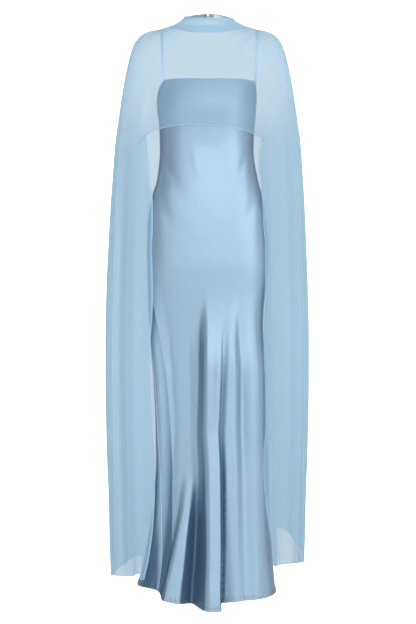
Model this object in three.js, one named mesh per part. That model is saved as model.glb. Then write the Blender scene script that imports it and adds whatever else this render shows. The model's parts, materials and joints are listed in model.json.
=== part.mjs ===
// A full-length cape dress: a bias-cut satin slip worn under a sheer chiffon cape with a funnel collar.
// Millimetres, +Z up. The front faces -Y, and +X is on the viewer's right.
// The origin lies between the shoulders, at the height where the wearer's shoulders carry the dress.
// Angles go round the body in degrees: 0 is centre front, 90 the right side, 180 centre back, -90 the left side.

import * as THREE from "three";

// Wall thicknesses and the gap left at every seam.
const satinWall = 1.5;
const chiffonWall = 1.2;
const collarWall = 1.6;
const tapeWall = 1.0;
const seamGap = 0.36;

// Levels of the slip.
const kneeZ = -1078;
const hemZ = -1520;
const foldGrowth = 240;

// Sections of the slip: how far it reaches from the origin to each side at a height.
const slipSections = [
  { z: -1560, left: 200, right: 186, front: 142, back: 154 },
  { z: -1500, left: 191, right: 181, front: 138, back: 146 },
  { z: -1430, left: 174, right: 175, front: 131, back: 135 },
  { z: -1340, left: 157, right: 168, front: 123, back: 122 },
  { z: -1250, left: 146, right: 163, front: 116, back: 112 },
  { z: -1159, left: 140, right: 160, front: 110, back: 105 },
  { z: -1078, left: 141, right: 158, front: 107, back: 102 },
  { z: -943, left: 147, right: 159, front: 104, back: 103 },
  { z: -862, left: 154, right: 160, front: 103, back: 106 },
  { z: -700, left: 162, right: 163, front: 105, back: 117 },
  { z: -600, left: 165, right: 163, front: 107, back: 121 },
  { z: -520, left: 162, right: 157, front: 107, back: 117 },
  { z: -448, left: 151, right: 146, front: 105, back: 108 },
  { z: -405, left: 138, right: 135, front: 102, back: 100 },
  { z: -324, left: 130, right: 123, front: 99, back: 88 },
  { z: -257, left: 132, right: 126, front: 107, back: 88 },
  { z: -214, left: 137, right: 130, front: 112, back: 88 },
  { z: -120, left: 132, right: 128, front: 97, back: 84 },
];

// How flat the front and back of a section are: 1 is an ellipse, and less is squarer.
const slipFlatness = { bust: 0.8, front: 0.6, back: 0.8 };
const flatStart = -280;
const flatFull = -480;
const capeFlatness = 0.85;

// Where the slip's side seams run. The bias cut twists the left one to the front at the hem.
const slipSeams = [
  { z: -1540, left: -46, right: 98 },
  { z: -1430, left: -53, right: 97 },
  { z: -1320, left: -64, right: 96 },
  { z: -1185, left: -72, right: 94 },
  { z: -1075, left: -75, right: 93 },
  { z: -915, left: -78, right: 91 },
  { z: -808, left: -83, right: 90 },
  { z: -700, left: -89, right: 90 },
  { z: -120, left: -90, right: 90 },
];

// Flanks of the slip's folds: between two angles the cloth comes out by rise, at the knee and at the hem.
const slipFolds = [
  { name: "left hollow", start: -1080, above: [-56, -48], knee: [-58, -46], hem: [-64, -54], rise: [-3, -5] },
  { name: "left front hollow", start: -620, above: [-80, -50], knee: [-80, -50], hem: [-84, -62], rise: [-30, -14] },
  { name: "left ridge, left side", start: -1150, above: [-37, -27], knee: [-37, -27], hem: [-45.5, -32], rise: [12, 36] },
  { name: "left ridge, right side", start: -1150, above: [-26, -20.5], knee: [-26, -20.5], hem: [-22, -12.5], rise: [-12, -42] },
  { name: "main flank", start: -676, above: [-7, 0.5], knee: [-18.5, -3], hem: [-13, 3.5], rise: [42, 70] },
  { name: "main ridge, right edge", start: -740, above: [13.5, 16.5], knee: [6.2, 9.2], hem: [9.6, 12.4], rise: [-14, -48] },
  { name: "second ridge, left side", start: -700, above: [17.5, 24], knee: [9.6, 15.4], hem: [12.6, 15.6], rise: [10, 6] },
  { name: "second ridge, right side", start: -670, above: [24, 33], knee: [22, 34], hem: [24, 36], rise: [-13, -6] },
  { name: "third ridge, left side", start: -760, above: [35, 43], knee: [36, 47], hem: [37, 48], rise: [13, 4] },
  { name: "right front fall", start: -660, above: [54, 70], knee: [54, 70], hem: [54, 70], rise: [-8, -1] },
  { name: "back right hollow", start: -760, above: [115, 121], knee: [112, 124], hem: [114, 126], rise: [-9, -12] },
  { name: "back right pleat", start: -760, above: [136.5, 141.5], knee: [134, 144], hem: [136, 147], rise: [16, 20] },
  { name: "back middle hollow", start: -720, above: [163, 169], knee: [160, 172], hem: [158, 172], rise: [-14, -18] },
  { name: "back left pleat", start: -720, above: [188.5, 193.5], knee: [186, 196], hem: [188, 200], rise: [18, 22] },
  { name: "back left hollow", start: -800, above: [217.5, 224.5], knee: [214, 228], hem: [216, 232], rise: [-12, -16] },
];
const closingFlank = [244, 262];

// Top edge and hem of the slip, by angle. The front edge is straight with a cut-away at each underarm.
const slipTopEdge = [
  { angle: -90, z: -196 },
  { angle: -80, z: -173 },
  { angle: -70, z: -153 },
  { angle: -63, z: -145 },
  { angle: -57, z: -141.5 },
  { angle: -30, z: -141 },
  { angle: 0, z: -144 },
  { angle: 30, z: -142 },
  { angle: 66, z: -142 },
  { angle: 75, z: -144 },
  { angle: 80, z: -149 },
  { angle: 85, z: -161 },
  { angle: 90, z: -186 },
  { angle: 105, z: -182 },
  { angle: 128, z: -168 },
  { angle: 180, z: -176 },
  { angle: 232, z: -168 },
  { angle: 255, z: -182 },
  { angle: 270, z: -196 },
];
const slipHem = [
  { angle: -90, z: -1489 },
  { angle: -60, z: -1492 },
  { angle: -48, z: -1498 },
  { angle: -43, z: -1509 },
  { angle: -28, z: -1518 },
  { angle: -12, z: -1526 },
  { angle: 3, z: -1536 },
  { angle: 10.5, z: -1535 },
  { angle: 13.5, z: -1520 },
  { angle: 50, z: -1515 },
  { angle: 90, z: -1508 },
  { angle: 180, z: -1510 },
  { angle: 230, z: -1500 },
  { angle: 270, z: -1489 },
];

// Rings of the cape from the collar's top edge down: the half width and height at the sides, and the depth and
// height at centre front and centre back. middle is how far behind the origin the ring is centred.
const capeRings = [
  { side: 62, sideZ: 39.5, front: 50, frontZ: 26, back: 50, backZ: 56, middle: 10 },
  { side: 78, sideZ: 26, front: 57, frontZ: 9, back: 56, backZ: 38, middle: 10 },
  { side: 104, sideZ: 13, front: 65, frontZ: -13, back: 62, backZ: 20, middle: 9 },
  { side: 130, sideZ: 5.5, front: 74, frontZ: -36, back: 71, backZ: -3, middle: 8 },
  { side: 156, sideZ: 0, front: 85, frontZ: -60, back: 82, backZ: -28, middle: 8 },
  { side: 178, sideZ: -9.5, front: 96, frontZ: -86, back: 92, backZ: -54, middle: 8 },
  { side: 195, sideZ: -27, front: 106, frontZ: -112, back: 100, backZ: -82, middle: 8 },
  { side: 207, sideZ: -53, front: 115, frontZ: -138, back: 106, backZ: -112, middle: 8 },
  { side: 216, sideZ: -88, front: 123, frontZ: -164, back: 110, backZ: -144, middle: 8 },
  { side: 225, sideZ: -131, front: 129, frontZ: -190, back: 114, backZ: -178, middle: 8 },
  { side: 233.5, sideZ: -183, front: 132, frontZ: -216, back: 118, backZ: -212, middle: 8 },
  { side: 241, sideZ: -234, front: 131, frontZ: -242, back: 122, backZ: -242, middle: 8 },
  { side: 245, sideZ: -262, front: 128, frontZ: -262, back: 125, backZ: -262, middle: 8 },
  { side: 250.6, sideZ: -303, front: 121, frontZ: -303, back: 130, backZ: -303, middle: 8 },
  { side: 257, sideZ: -389, front: 109, frontZ: -389, back: 137, backZ: -389, middle: 8 },
  { side: 261, sideZ: -456, front: 104, frontZ: -456, back: 143, backZ: -456, middle: 8 },
  { side: 266.5, sideZ: -580, front: 100, frontZ: -580, back: 150, backZ: -580, middle: 8 },
  { side: 271, sideZ: -705, front: 98, frontZ: -705, back: 154, backZ: -705, middle: 8 },
  { side: 273.7, sideZ: -829, front: 97, frontZ: -829, back: 157, backZ: -829, middle: 8 },
  { side: 273.5, sideZ: -954, front: 97, frontZ: -954, back: 160, backZ: -954, middle: 8 },
  { side: 272, sideZ: -1051, front: 98, frontZ: -1051, back: 163, backZ: -1051, middle: 8 },
  { side: 269, sideZ: -1163, front: 102, frontZ: -1163, back: 168, backZ: -1163, middle: 8 },
  { side: 265.5, sideZ: -1247, front: 108, frontZ: -1247, back: 173, backZ: -1247, middle: 8 },
  { side: 262.5, sideZ: -1371, front: 120, frontZ: -1371, back: 181, backZ: -1371, middle: 8 },
  { side: 259.5, sideZ: -1463, front: 131, frontZ: -1463, back: 187, backZ: -1463, middle: 8 },
  { side: 258, sideZ: -1520, front: 136, frontZ: -1520, back: 190, backZ: -1520, middle: 8 },
];
const ringFall = 1.5;
const collarBaseRing = 2;
const firstLevelRing = 12;

// The cape's side seams: angle from centre front at a ring.
const capeSeams = [
  { ring: 0, left: -86, right: 86 },
  { ring: 2, left: -84, right: 84 },
  { ring: 4, left: -77, right: 76 },
  { ring: 6, left: -71, right: 70 },
  { ring: 12, left: -70, right: 69 },
  { ring: 20, left: -69, right: 71 },
  { ring: 25, left: -74, right: 79 },
];

// Flanks of the cape's long folds. They start below the shoulders and are full at the hips.
const capeFoldStart = -120;
const capeFoldFull = -720;
const capeFolds = [
  { name: "left fall, outer hollow", from: -70, to: -62, rise: -7 },
  { name: "left fall, ridge", from: -60, to: -52, rise: 13 },
  { name: "left fall, inner side", from: -48, to: -38, rise: -6 },
  { name: "right fall, inner side", from: 38, to: 47, rise: 7 },
  { name: "right fall, ridge", from: 52, to: 60, rise: -14 },
  { name: "right fall, outer hollow", from: 62, to: 70, rise: 7 },
  { name: "back, right side", from: 84, to: 96, rise: -8 },
  { name: "back, first ridge", from: 102, to: 112, rise: 20 },
  { name: "back, first hollow", from: 120, to: 130, rise: -24 },
  { name: "back, second ridge", from: 138, to: 147, rise: 24 },
  { name: "back, middle hollow", from: 156, to: 167, rise: -22 },
  { name: "back, middle ridge", from: 172, to: 181, rise: 19 },
  { name: "back, third hollow", from: 189, to: 199, rise: -21 },
  { name: "back, third ridge", from: 207, to: 217, rise: 24 },
  { name: "back, last hollow", from: 226, to: 237, rise: -22 },
  { name: "back, last ridge", from: 246, to: 256, rise: 18 },
  { name: "back, left side", from: 262, to: 272, rise: -8 },
];

// Creases of the yoke, each from one ring and angle to another. Most of them run to the right shoulder.
const yokeCreases = [
  { name: "upper sweep", ring: 2.6, angle: 66, endRing: 3.2, endAngle: 8, width: 0.3, depth: 2.2 },
  { name: "middle sweep", ring: 3.1, angle: 62, endRing: 5.2, endAngle: 22, width: 0.34, depth: 2 },
  { name: "strap fold", ring: 3.4, angle: 56, endRing: 9, endAngle: 33, width: 0.5, depth: 2.8 },
  { name: "left corner fold", ring: 12.8, angle: -47, endRing: 8.6, endAngle: -46, width: 0.3, depth: 3 },
];
const creaseDegrees = 12;

// The free lower edge of the cape front, in front view: along the yoke's hem, then down each fall.
const yokeHem = [
  { share: 0, left: 0, leftZ: -267, right: 0, rightZ: -267 },
  { share: 0.3, left: -50, leftZ: -264, right: 45, rightZ: -269 },
  { share: 0.6, left: -104, leftZ: -271, right: 90, rightZ: -278 },
  { share: 0.85, left: -143, leftZ: -281.5, right: 123, rightZ: -290 },
  { share: 1, left: -163.7, leftZ: -290.4, right: 140.6, rightZ: -299 },
];
const fallEdge = [
  { z: -290, left: -163.7, right: 140.6 },
  { z: -318, left: -161.6, right: 140.6 },
  { z: -337, left: -160, right: 135.3 },
  { z: -358, left: -158, right: 134.5 },
  { z: -386, left: -156.5, right: 134.8 },
  { z: -403, left: -155.5, right: 139.8 },
  { z: -429, left: -154, right: 143.8 },
  { z: -463, left: -151, right: 147.7 },
  { z: -490, left: -150.6, right: 149.8 },
  { z: -537, left: -150.5, right: 152 },
  { z: -584, left: -153, right: 156 },
  { z: -700, left: -150, right: 156 },
  { z: -775, left: -152, right: 154 },
  { z: -860, left: -159, right: 152 },
  { z: -950, left: -158, right: 156 },
  { z: -1055, left: -152, right: 157 },
  { z: -1160, left: -146, right: 150 },
  { z: -1237, left: -145, right: 154 },
  { z: -1320, left: -149, right: 164 },
  { z: -1421, left: -163, right: 177 },
  { z: -1470, left: -174, right: 181 },
];

// The fall's inner edge rolls under. Its tail hangs lower than the rest of the front hem.
const rollRadius = 6;
const rollLength = 18;
const rollStartZ = -330;
const rollFullZ = -470;
const rollColumns = 5;
const rollShare = 0.15;
const fallHem = [
  { share: 0, left: -1463, right: -1432 },
  { share: 0.13, left: -1466, right: -1430 },
  { share: 0.2, left: -1404, right: -1332 },
  { share: 0.5, left: -1421, right: -1350 },
  { share: 0.8, left: -1440, right: -1392 },
  { share: 1, left: -1459, right: -1424 },
];

// Hem of the cape back, by the share of the way from a side seam to the centre.
const capeBackHem = [
  { share: 0, left: -1459, right: -1424 },
  { share: 0.25, left: -1478, right: -1444 },
  { share: 0.5, left: -1490, right: -1460 },
  { share: 1, left: -1482, right: -1482 },
];

// The keyhole slit at centre back: half its width at a ring.
const keyhole = [
  { ring: 0, half: 2.6 },
  { ring: 0.3, half: 0.6 },
  { ring: 2, half: 0.5 },
  { ring: 4, half: 0.5 },
  { ring: 5, half: 0.45 },
  { ring: 5.6, half: 0.15 },
];

// Rows of the cape. The yoke's rings are listed, and the last of them before the yoke's hem follows from the hem.
const yokeRings = [3, 3.8, 4.7, 5.6, 6.6, 7.8, 9, 10.2, 11.3];
const keyholeRow = 4;
const yokeRows = 10;
const hemRows = 4;
const fallRows = 11;
const cornerDrop = 1.6;

// Straps, from the slip's front edge over the shoulder to its back edge.
const strapWidth = 6;
const strapGap = 0.6;
const strapPaths = {
  left: [
    { x: -117, y: -54, z: -144 },
    { x: -118.5, y: -54, z: -108 },
    { x: -121, y: -50, z: -70 },
    { x: -123.5, y: -38, z: -32 },
    { x: -125, y: -16, z: -5.5 },
    { x: -125.5, y: 8, z: 3.4 },
    { x: -125.6, y: 30, z: -4 },
    { x: -125.4, y: 45, z: -34 },
    { x: -123, y: 48, z: -80 },
    { x: -120, y: 45, z: -125 },
    { x: -117, y: 40, z: -166 },
  ],
  right: [
    { x: 122.5, y: -38, z: -145 },
    { x: 126.5, y: -41, z: -112 },
    { x: 130.5, y: -39, z: -72 },
    { x: 133.3, y: -31, z: -33 },
    { x: 134, y: -14, z: -6.5 },
    { x: 134, y: 8, z: 2.2 },
    { x: 134, y: 29, z: -5 },
    { x: 133.8, y: 43, z: -34 },
    { x: 132, y: 46, z: -80 },
    { x: 128.5, y: 42, z: -125 },
    { x: 122, y: 37, z: -168 },
  ],
};

// Small pieces at the back of the collar.
const buttonRadius = 4.5;
const buttonHeight = 2.4;
const buttonX = -5;
const buttonRing = 0.45;
const loopRadius = 5.7;
const loopWidth = 1.6;
const loopFoot = 2.2;
const collarSlump = 0.45;
const labelAngles = [126, 166];
const labelRings = [0.05, 0.78];
const sizeTabAngles = [124.5, 134.5];
const sizeTabRings = [0.82, 1.28];

// Rows and plain columns of the slip. The other columns follow the folds.
const slipRows = 20;
const slipRowSpread = 1.2;
const slipPlainColumns = {
  front: [-82, -74, -65, -61, 50, 69, 73.5, 78.5, 84],
  back: [98, 105.5, 114.5, 128, 150, 178, 205, 228, 237.5, 244.5, 262, 275, 285],
};
const leastStep = 1.2;

const radians = (degrees) => (degrees * Math.PI) / 180;
const blend = (a, b, share) => a + (b - a) * share;
const clamp01 = (value) => Math.min(1, Math.max(0, value));

// A value that goes smoothly from 0 to 1 between 0 and 1.
function ease(value) {
  const share = clamp01(value);
  return share * share * (3 - 2 * share);
}

// A smooth curve through one column of a table, with no overshoot between the rows. Beyond the ends it is straight.
function columnCurve(rows, by, column) {
  const sorted = [...rows].sort((a, b) => a[by] - b[by]);
  const at = sorted.map((row) => row[by]);
  const value = sorted.map((row) => row[column]);
  const last = at.length - 1;
  const slope = at.slice(1).map((x, i) => (value[i + 1] - value[i]) / (x - at[i]));
  const tangent = at.map((x, i) => {
    if (i === 0) return slope[0];
    if (i === last) return slope[last - 1];
    const product = slope[i - 1] * slope[i];
    return product <= 0 ? 0 : (2 * product) / (slope[i - 1] + slope[i]);
  });
  return (x) => {
    if (x <= at[0]) return value[0] + tangent[0] * (x - at[0]);
    if (x >= at[last]) return value[last] + tangent[last] * (x - at[last]);
    let i = 0;
    while (x > at[i + 1]) i += 1;
    const width = at[i + 1] - at[i];
    const s = (x - at[i]) / width;
    const before = (1 + 2 * s) * (1 - s) ** 2 * value[i] + s * (1 - s) ** 2 * width * tangent[i];
    const after = s * s * (3 - 2 * s) * value[i + 1] + s * s * (s - 1) * width * tangent[i + 1];
    return before + after;
  };
}

// Every column of a table as a curve over the column named by.
function curvesOf(rows, by) {
  const columns = Object.keys(rows[0]).filter((name) => name !== by && name !== "name");
  return Object.fromEntries(columns.map((name) => [name, columnCurve(rows, by, name)]));
}

// Brings an angle into the range from -90 up to 270 degrees.
const wrapAngle = (angle) => ((((angle + 90) % 360) + 360) % 360) - 90;

const slip = curvesOf(slipSections, "z");
const slipSeam = curvesOf(slipSeams, "z");
const slipTop = columnCurve(slipTopEdge, "angle", "z");
const slipBottom = columnCurve(slipHem, "angle", "z");

// Where a fold's flank begins and ends at a height: between its start, the knee and the hem.
function slipFlank(fold, z) {
  const nearKnee = clamp01((fold.start - z) / Math.max(1, fold.start - kneeZ));
  const below = Math.max(0, (kneeZ - z) / (kneeZ - hemZ));
  return [0, 1].map((i) => blend(blend(fold.above[i], fold.knee[i], nearKnee), fold.hem[i], below));
}

// How far a fold rises at a height.
function slipRise(fold, z) {
  const below = clamp01((kneeZ - z) / (kneeZ - hemZ));
  return blend(fold.rise[0], fold.rise[1], below) * ease((fold.start - z) / foldGrowth);
}

// How far the folds push the slip's cloth out at an angle and height. One last flank at the back takes back what the
// others leave over.
function slipRelief(angle, z) {
  const a = wrapAngle(angle);
  let relief = 0;
  let leftOver = 0;
  slipFolds.forEach((fold) => {
    const [from, to] = slipFlank(fold, z);
    const rise = slipRise(fold, z);
    relief += rise * ease((a - from) / (to - from));
    leftOver += rise;
  });
  return relief - leftOver * ease((a - closingFlank[0]) / (closingFlank[1] - closingFlank[0]));
}

// A point of the slip's outer face.
function slipPoint(angle, z) {
  const half = (slip.left(z) + slip.right(z)) / 2;
  const centre = (slip.right(z) - slip.left(z)) / 2;
  const sine = Math.sin(radians(angle));
  const cosine = Math.cos(radians(angle));
  const depth = cosine > 0 ? slip.front(z) : slip.back(z);
  const front = blend(slipFlatness.bust, slipFlatness.front, ease((flatStart - z) / (flatStart - flatFull)));
  const flatness = cosine > 0 ? front : slipFlatness.back;
  const out = new THREE.Vector2(sine / half, -cosine / depth).normalize();
  const relief = slipRelief(angle, z);
  return new THREE.Vector3(
    centre + half * sine + out.x * relief,
    -depth * Math.sign(cosine) * Math.abs(cosine) ** flatness + out.y * relief,
    z,
  );
}

capeRings.forEach((row, index) => (row.ring = index));
const cape = curvesOf(capeRings, "ring");
const capeSeam = curvesOf(capeSeams, "ring");
const slit = columnCurve(keyhole, "ring", "half");

// How far the long folds push the cape's cloth out at an angle and height.
function capeRelief(angle, z) {
  const a = wrapAngle(angle);
  const grown = ease((capeFoldStart - z) / (capeFoldStart - capeFoldFull));
  if (grown === 0) return 0;
  const rise = (fold) => fold.rise * ease((a - fold.from) / (fold.to - fold.from));
  return grown * capeFolds.reduce((sum, fold) => sum + rise(fold), 0);
}

// How far the yoke's creases push its cloth out: a soft ridge along each line, fading at both ends.
function creaseRelief(angle, ring) {
  return yokeCreases.reduce((sum, crease) => {
    const start = new THREE.Vector2(crease.angle / creaseDegrees, crease.ring);
    const line = new THREE.Vector2(crease.endAngle / creaseDegrees, crease.endRing).sub(start);
    const here = new THREE.Vector2(angle / creaseDegrees, ring).sub(start);
    const along = here.dot(line) / line.lengthSq();
    if (along <= 0 || along >= 1) return sum;
    const away = Math.abs(here.cross(line)) / line.length() / crease.width;
    return sum + crease.depth * ease(along * 4) * ease((1 - along) * 1.5) * Math.exp(-away * away);
  }, 0);
}

// A point of the cape's outer face, with everything but the rolled edges.
// The collar's edge slumps on the right: up to ring 1 it starts further down there.
function capePoint(angle, level) {
  const slump = collarSlump * Math.exp(-(((angle - 85) / 35) ** 2));
  const ring = level + slump * Math.max(0, 1 - level);
  const sine = Math.sin(radians(angle));
  const cosine = Math.cos(radians(angle));
  const isFront = cosine > 0;
  const side = cape.side(ring);
  const depth = isFront ? cape.front(ring) : cape.back(ring);
  const endZ = isFront ? cape.frontZ(ring) : cape.backZ(ring);
  const z = blend(cape.sideZ(ring), endZ, Math.abs(cosine) ** ringFall);
  const out = new THREE.Vector2(sine / side, -cosine / depth).normalize();
  const relief = capeRelief(angle, z) + (isFront ? creaseRelief(angle, ring) : 0);
  return new THREE.Vector3(
    side * sine + out.x * relief,
    cape.middle(ring) - depth * Math.sign(cosine) * Math.abs(cosine) ** capeFlatness + out.y * relief,
    z,
  );
}

// The ring of the cape's level part that lies at a height.
function ringAt(z) {
  let low = firstLevelRing - 1;
  let high = capeRings.length - 1;
  for (let step = 0; step < 40; step += 1) {
    const middle = (low + high) / 2;
    if (cape.sideZ(middle) > z) low = middle;
    else high = middle;
  }
  return low;
}

// The angle at which the cape's front reaches a distance to the side, on a ring.
function angleAtX(x, ring) {
  let angle = 0;
  for (let step = 0; step < 12; step += 1) {
    const reached = capePoint(angle, ring).x;
    angle += (((x - reached) / cape.side(ring)) * (180 / Math.PI)) / Math.cos(radians(angle));
  }
  return angle;
}

// The angle at half a seam gap beside a seam, on the side given by 1 or -1.
function besideSeam(pointAt, seam, side) {
  const start = pointAt(seam);
  let low = 0;
  let high = 3;
  for (let step = 0; step < 30; step += 1) {
    const middle = (low + high) / 2;
    if (pointAt(seam + side * middle).distanceTo(start) < seamGap / 2) low = middle;
    else high = middle;
  }
  return seam + side * high;
}

// The outward unit normal of a surface given as a function of two numbers.
function normalOf(surface, u, v, stepU, stepV) {
  const alongU = surface(u + stepU, v).sub(surface(u - stepU, v));
  const alongV = surface(u, v + stepV).sub(surface(u, v - stepV));
  return alongU.cross(alongV).normalize();
}

// A closed wall from outer points, their outward normals and the quads that join them, wound so that they face out.
function clothWall(points, normals, quads, thickness) {
  const count = points.length;
  const inner = points.map((p, i) => p.clone().addScaledVector(normals[i], -thickness));
  const index = [];
  const edges = new Map();
  quads.forEach(([a, b, c, d]) => {
    const flip = points[a].distanceTo(points[c]) > points[b].distanceTo(points[d]);
    const faces = flip ? [[a, b, d], [b, c, d]] : [[a, b, c], [a, c, d]];
    faces.forEach(([i, j, k]) => index.push(i, j, k, k + count, j + count, i + count));
    [[a, b], [b, c], [c, d], [d, a]].forEach(([i, j]) => {
      const twin = j + "_" + i;
      if (edges.has(twin)) edges.delete(twin);
      else edges.set(i + "_" + j, [i, j]);
    });
  });
  edges.forEach(([i, j]) => index.push(i, i + count, j, j, i + count, j + count));
  const geometry = new THREE.BufferGeometry();
  const places = [...points, ...inner].flatMap((p) => [p.x, p.y, p.z]);
  geometry.setAttribute("position", new THREE.Float32BufferAttribute(places, 3));
  geometry.setIndex(index);
  geometry.computeVertexNormals();
  return geometry;
}

// The quads of a grid with rows of points one after another.
function gridQuads(across, down) {
  const quads = [];
  for (let row = 0; row < down; row += 1) {
    for (let column = 0; column < across; column += 1) {
      const a = row * (across + 1) + column;
      quads.push([a, a + across + 1, a + across + 2, a + 1]);
    }
  }
  return quads;
}

// A wall over a grid: surface takes two shares from 0 to 1, across and down.
function gridWall(surface, across, down, thickness, step = 0.002) {
  const points = [];
  const normals = [];
  for (let row = 0; row <= down; row += 1) {
    for (let column = 0; column <= across; column += 1) {
      points.push(surface(column / across, row / down));
      normals.push(normalOf(surface, column / across, row / down, step, -step));
    }
  }
  return clothWall(points, normals, gridQuads(across, down), thickness);
}

// Angles from one end to the other through the wanted ones, kept in order and at least a small step apart.
function orderedAngles(wanted, start, end) {
  const angles = [start];
  wanted.forEach((angle) => angles.push(Math.max(angle, angles[angles.length - 1] + leastStep)));
  angles.push(end);
  for (let i = angles.length - 2; i > 0; i -= 1) angles[i] = Math.min(angles[i], angles[i + 1] - leastStep);
  return angles;
}

const satin = new THREE.MeshStandardMaterial({ color: 0x9dbfdc, roughness: 0.35, metalness: 0 });
const chiffon = new THREE.MeshStandardMaterial({
  color: 0xaacde6,
  roughness: 0.8,
  metalness: 0,
  transparent: true,
  opacity: 0.5,
  side: THREE.DoubleSide,
});
const tape = new THREE.MeshStandardMaterial({ color: 0xe2e3e6, roughness: 0.7, metalness: 0 });
const pearl = new THREE.MeshStandardMaterial({ color: 0xb9d3e8, roughness: 0.3, metalness: 0 });

function named(name, geometry, material) {
  const mesh = new THREE.Mesh(geometry, material);
  mesh.name = name;
  return mesh;
}

// A slip panel between two seams, with a column on each side and in the middle of every fold's flank.
function slipPanel(name, seamFrom, seamTo, plain) {
  const isInside = (angle) => angle > seamFrom(kneeZ) && angle < seamTo(kneeZ);
  const flanks = slipFolds.filter((fold) => isInside(fold.knee[0]));
  const columns = [
    ...plain.map((angle) => () => angle),
    ...flanks.flatMap((fold) => [
      (z) => slipFlank(fold, z)[0],
      (z) => (slipFlank(fold, z)[0] + slipFlank(fold, z)[1]) / 2,
      (z) => slipFlank(fold, z)[1],
    ]),
  ].sort((a, b) => a(kneeZ) - b(kneeZ));
  const anglesAt = (z) => {
    const start = besideSeam((angle) => slipPoint(angle, z), seamFrom(z), 1);
    const end = besideSeam((angle) => slipPoint(angle, z), seamTo(z), -1);
    return orderedAngles(columns.map((column) => column(z)), start, end);
  };
  const across = columns.length + 1;
  const points = [];
  const normals = [];
  for (let row = 0; row <= slipRows; row += 1) {
    const down = (row / slipRows) ** slipRowSpread;
    for (let column = 0; column <= across; column += 1) {
      let z = blend(slipTop(90), hemZ, down);
      for (let step = 0; step < 6; step += 1) {
        const angle = wrapAngle(anglesAt(z)[column]);
        z = blend(slipTop(angle), slipBottom(angle), down);
      }
      const angle = anglesAt(z)[column];
      points.push(slipPoint(angle, z));
      normals.push(normalOf(slipPoint, angle, z, 0.1, 0.5));
    }
  }
  return named(name, clothWall(points, normals, gridQuads(across, slipRows), satinWall), satin);
}

const slipFront = () => slipPanel("slip_front", slipSeam.left, slipSeam.right, slipPlainColumns.front);
const slipBack = () =>
  slipPanel("slip_back", slipSeam.right, (z) => slipSeam.left(z) + 360, slipPlainColumns.back);

// The angle at which the slip's top edge reaches a distance to the side, at the front or at the back.
function slipEdgeAngle(x, isFront) {
  let angle = isFront ? 0 : 180;
  for (let step = 0; step < 12; step += 1) {
    const reached = slipPoint(angle, slipTop(angle)).x;
    angle += (((x - reached) / slip.left(slipTop(angle))) * (180 / Math.PI)) / Math.cos(radians(angle));
    angle = wrapAngle(angle);
  }
  return angle;
}

// A flat strap along its path. Both ends sit just above the slip's top edge.
function strap(hand) {
  const path = new THREE.CatmullRomCurve3(strapPaths[hand].map((p) => new THREE.Vector3(p.x, p.y, p.z)));
  const rows = 26;
  const points = [];
  const normals = [];
  for (let row = 0; row <= rows; row += 1) {
    const along = path.getTangent(row / rows);
    const out = new THREE.Vector3(1, 0, 0).cross(along).normalize();
    for (const edge of [-0.5, 0, 0.5]) {
      const point = path.getPoint(row / rows);
      point.x += edge * strapWidth;
      points.push(point);
      normals.push(out);
      if (row > 0 && row < rows) continue;
      const angle = slipEdgeAngle(point.x, row === 0);
      point.copy(slipPoint(angle, slipTop(angle)));
      point.z += strapGap;
      normals[normals.length - 1] = normalOf(slipPoint, angle, slipTop(angle), 0.1, 0.5);
    }
  }
  const quads = gridQuads(2, rows).map((quad) => [...quad].reverse());
  return named("strap_" + hand, clothWall(points, normals, quads, satinWall), satin);
}

// A point of the cape front at an angle and ring. edge tells where the row's free edge lies, on which side of the
// body the fall hangs, and how much of its roll it has here.
function fallPoint(angle, ring, edge) {
  const point = capePoint(angle, ring);
  const width = cape.side(ring);
  const fromEdge = radians((angle - edge.angle) * edge.side) * width;
  if (edge.roll === 0 || fromEdge >= rollLength) return point;
  const startAngle = edge.angle + (edge.side * rollLength * 180) / (Math.PI * width);
  const start = capePoint(startAngle, ring);
  const along = capePoint(startAngle - edge.side, ring).sub(start).setZ(0).normalize();
  const inward = new THREE.Vector3(along.y, -along.x, 0).multiplyScalar(edge.side);
  const turn = (rollLength - fromEdge) / rollRadius;
  const rolled = start
    .clone()
    .addScaledVector(along, rollRadius * Math.sin(turn))
    .addScaledVector(inward, rollRadius * (1 - Math.cos(turn)));
  rolled.z = point.z;
  return point.lerp(rolled, edge.roll);
}

const hemCurves = curvesOf(yokeHem, "share");
const edgeCurves = curvesOf(fallEdge, "z");
const fallHems = curvesOf(fallHem, "share");
const backHems = curvesOf(capeBackHem, "share");
const capeRowCount = yokeRows + hemRows + fallRows;

// The rings that a row of the cape runs through, at a side seam.
function seamRing(hand, row) {
  const yokeEnd = ringAt(hemCurves[hand + "Z"](0));
  const cornerRing = ringAt(hemCurves[hand + "Z"](1)) + cornerDrop;
  if (row === 0) return collarBaseRing + seamGap / 24;
  if (row < yokeRows) return yokeRings[row - 1];
  if (row <= yokeRows + hemRows) return blend(yokeEnd, cornerRing, (row - yokeRows) / hemRows);
  return blend(cornerRing, ringAt(fallHems[hand](1)), (row - yokeRows - hemRows) / fallRows);
}

// The angle of a side seam of the cape, with half a gap to the front or back panel's side.
function seamAngle(hand, ring, panel) {
  const side = (hand === "left" ? -1 : 1) * (panel === "front" ? -1 : 1);
  return besideSeam((angle) => capePoint(angle, ring), capeSeam[hand](ring), side);
}

// Shares of the way from the free edge to the seam, closer together where the edge is rolled.
const frontPlainColumns = 8;
const frontShares = Array.from({ length: rollColumns + frontPlainColumns + 1 }, (_, i) =>
  i <= rollColumns
    ? (i / rollColumns) * rollShare
    : blend(rollShare, 1, (i - rollColumns) / frontPlainColumns),
);

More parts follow.
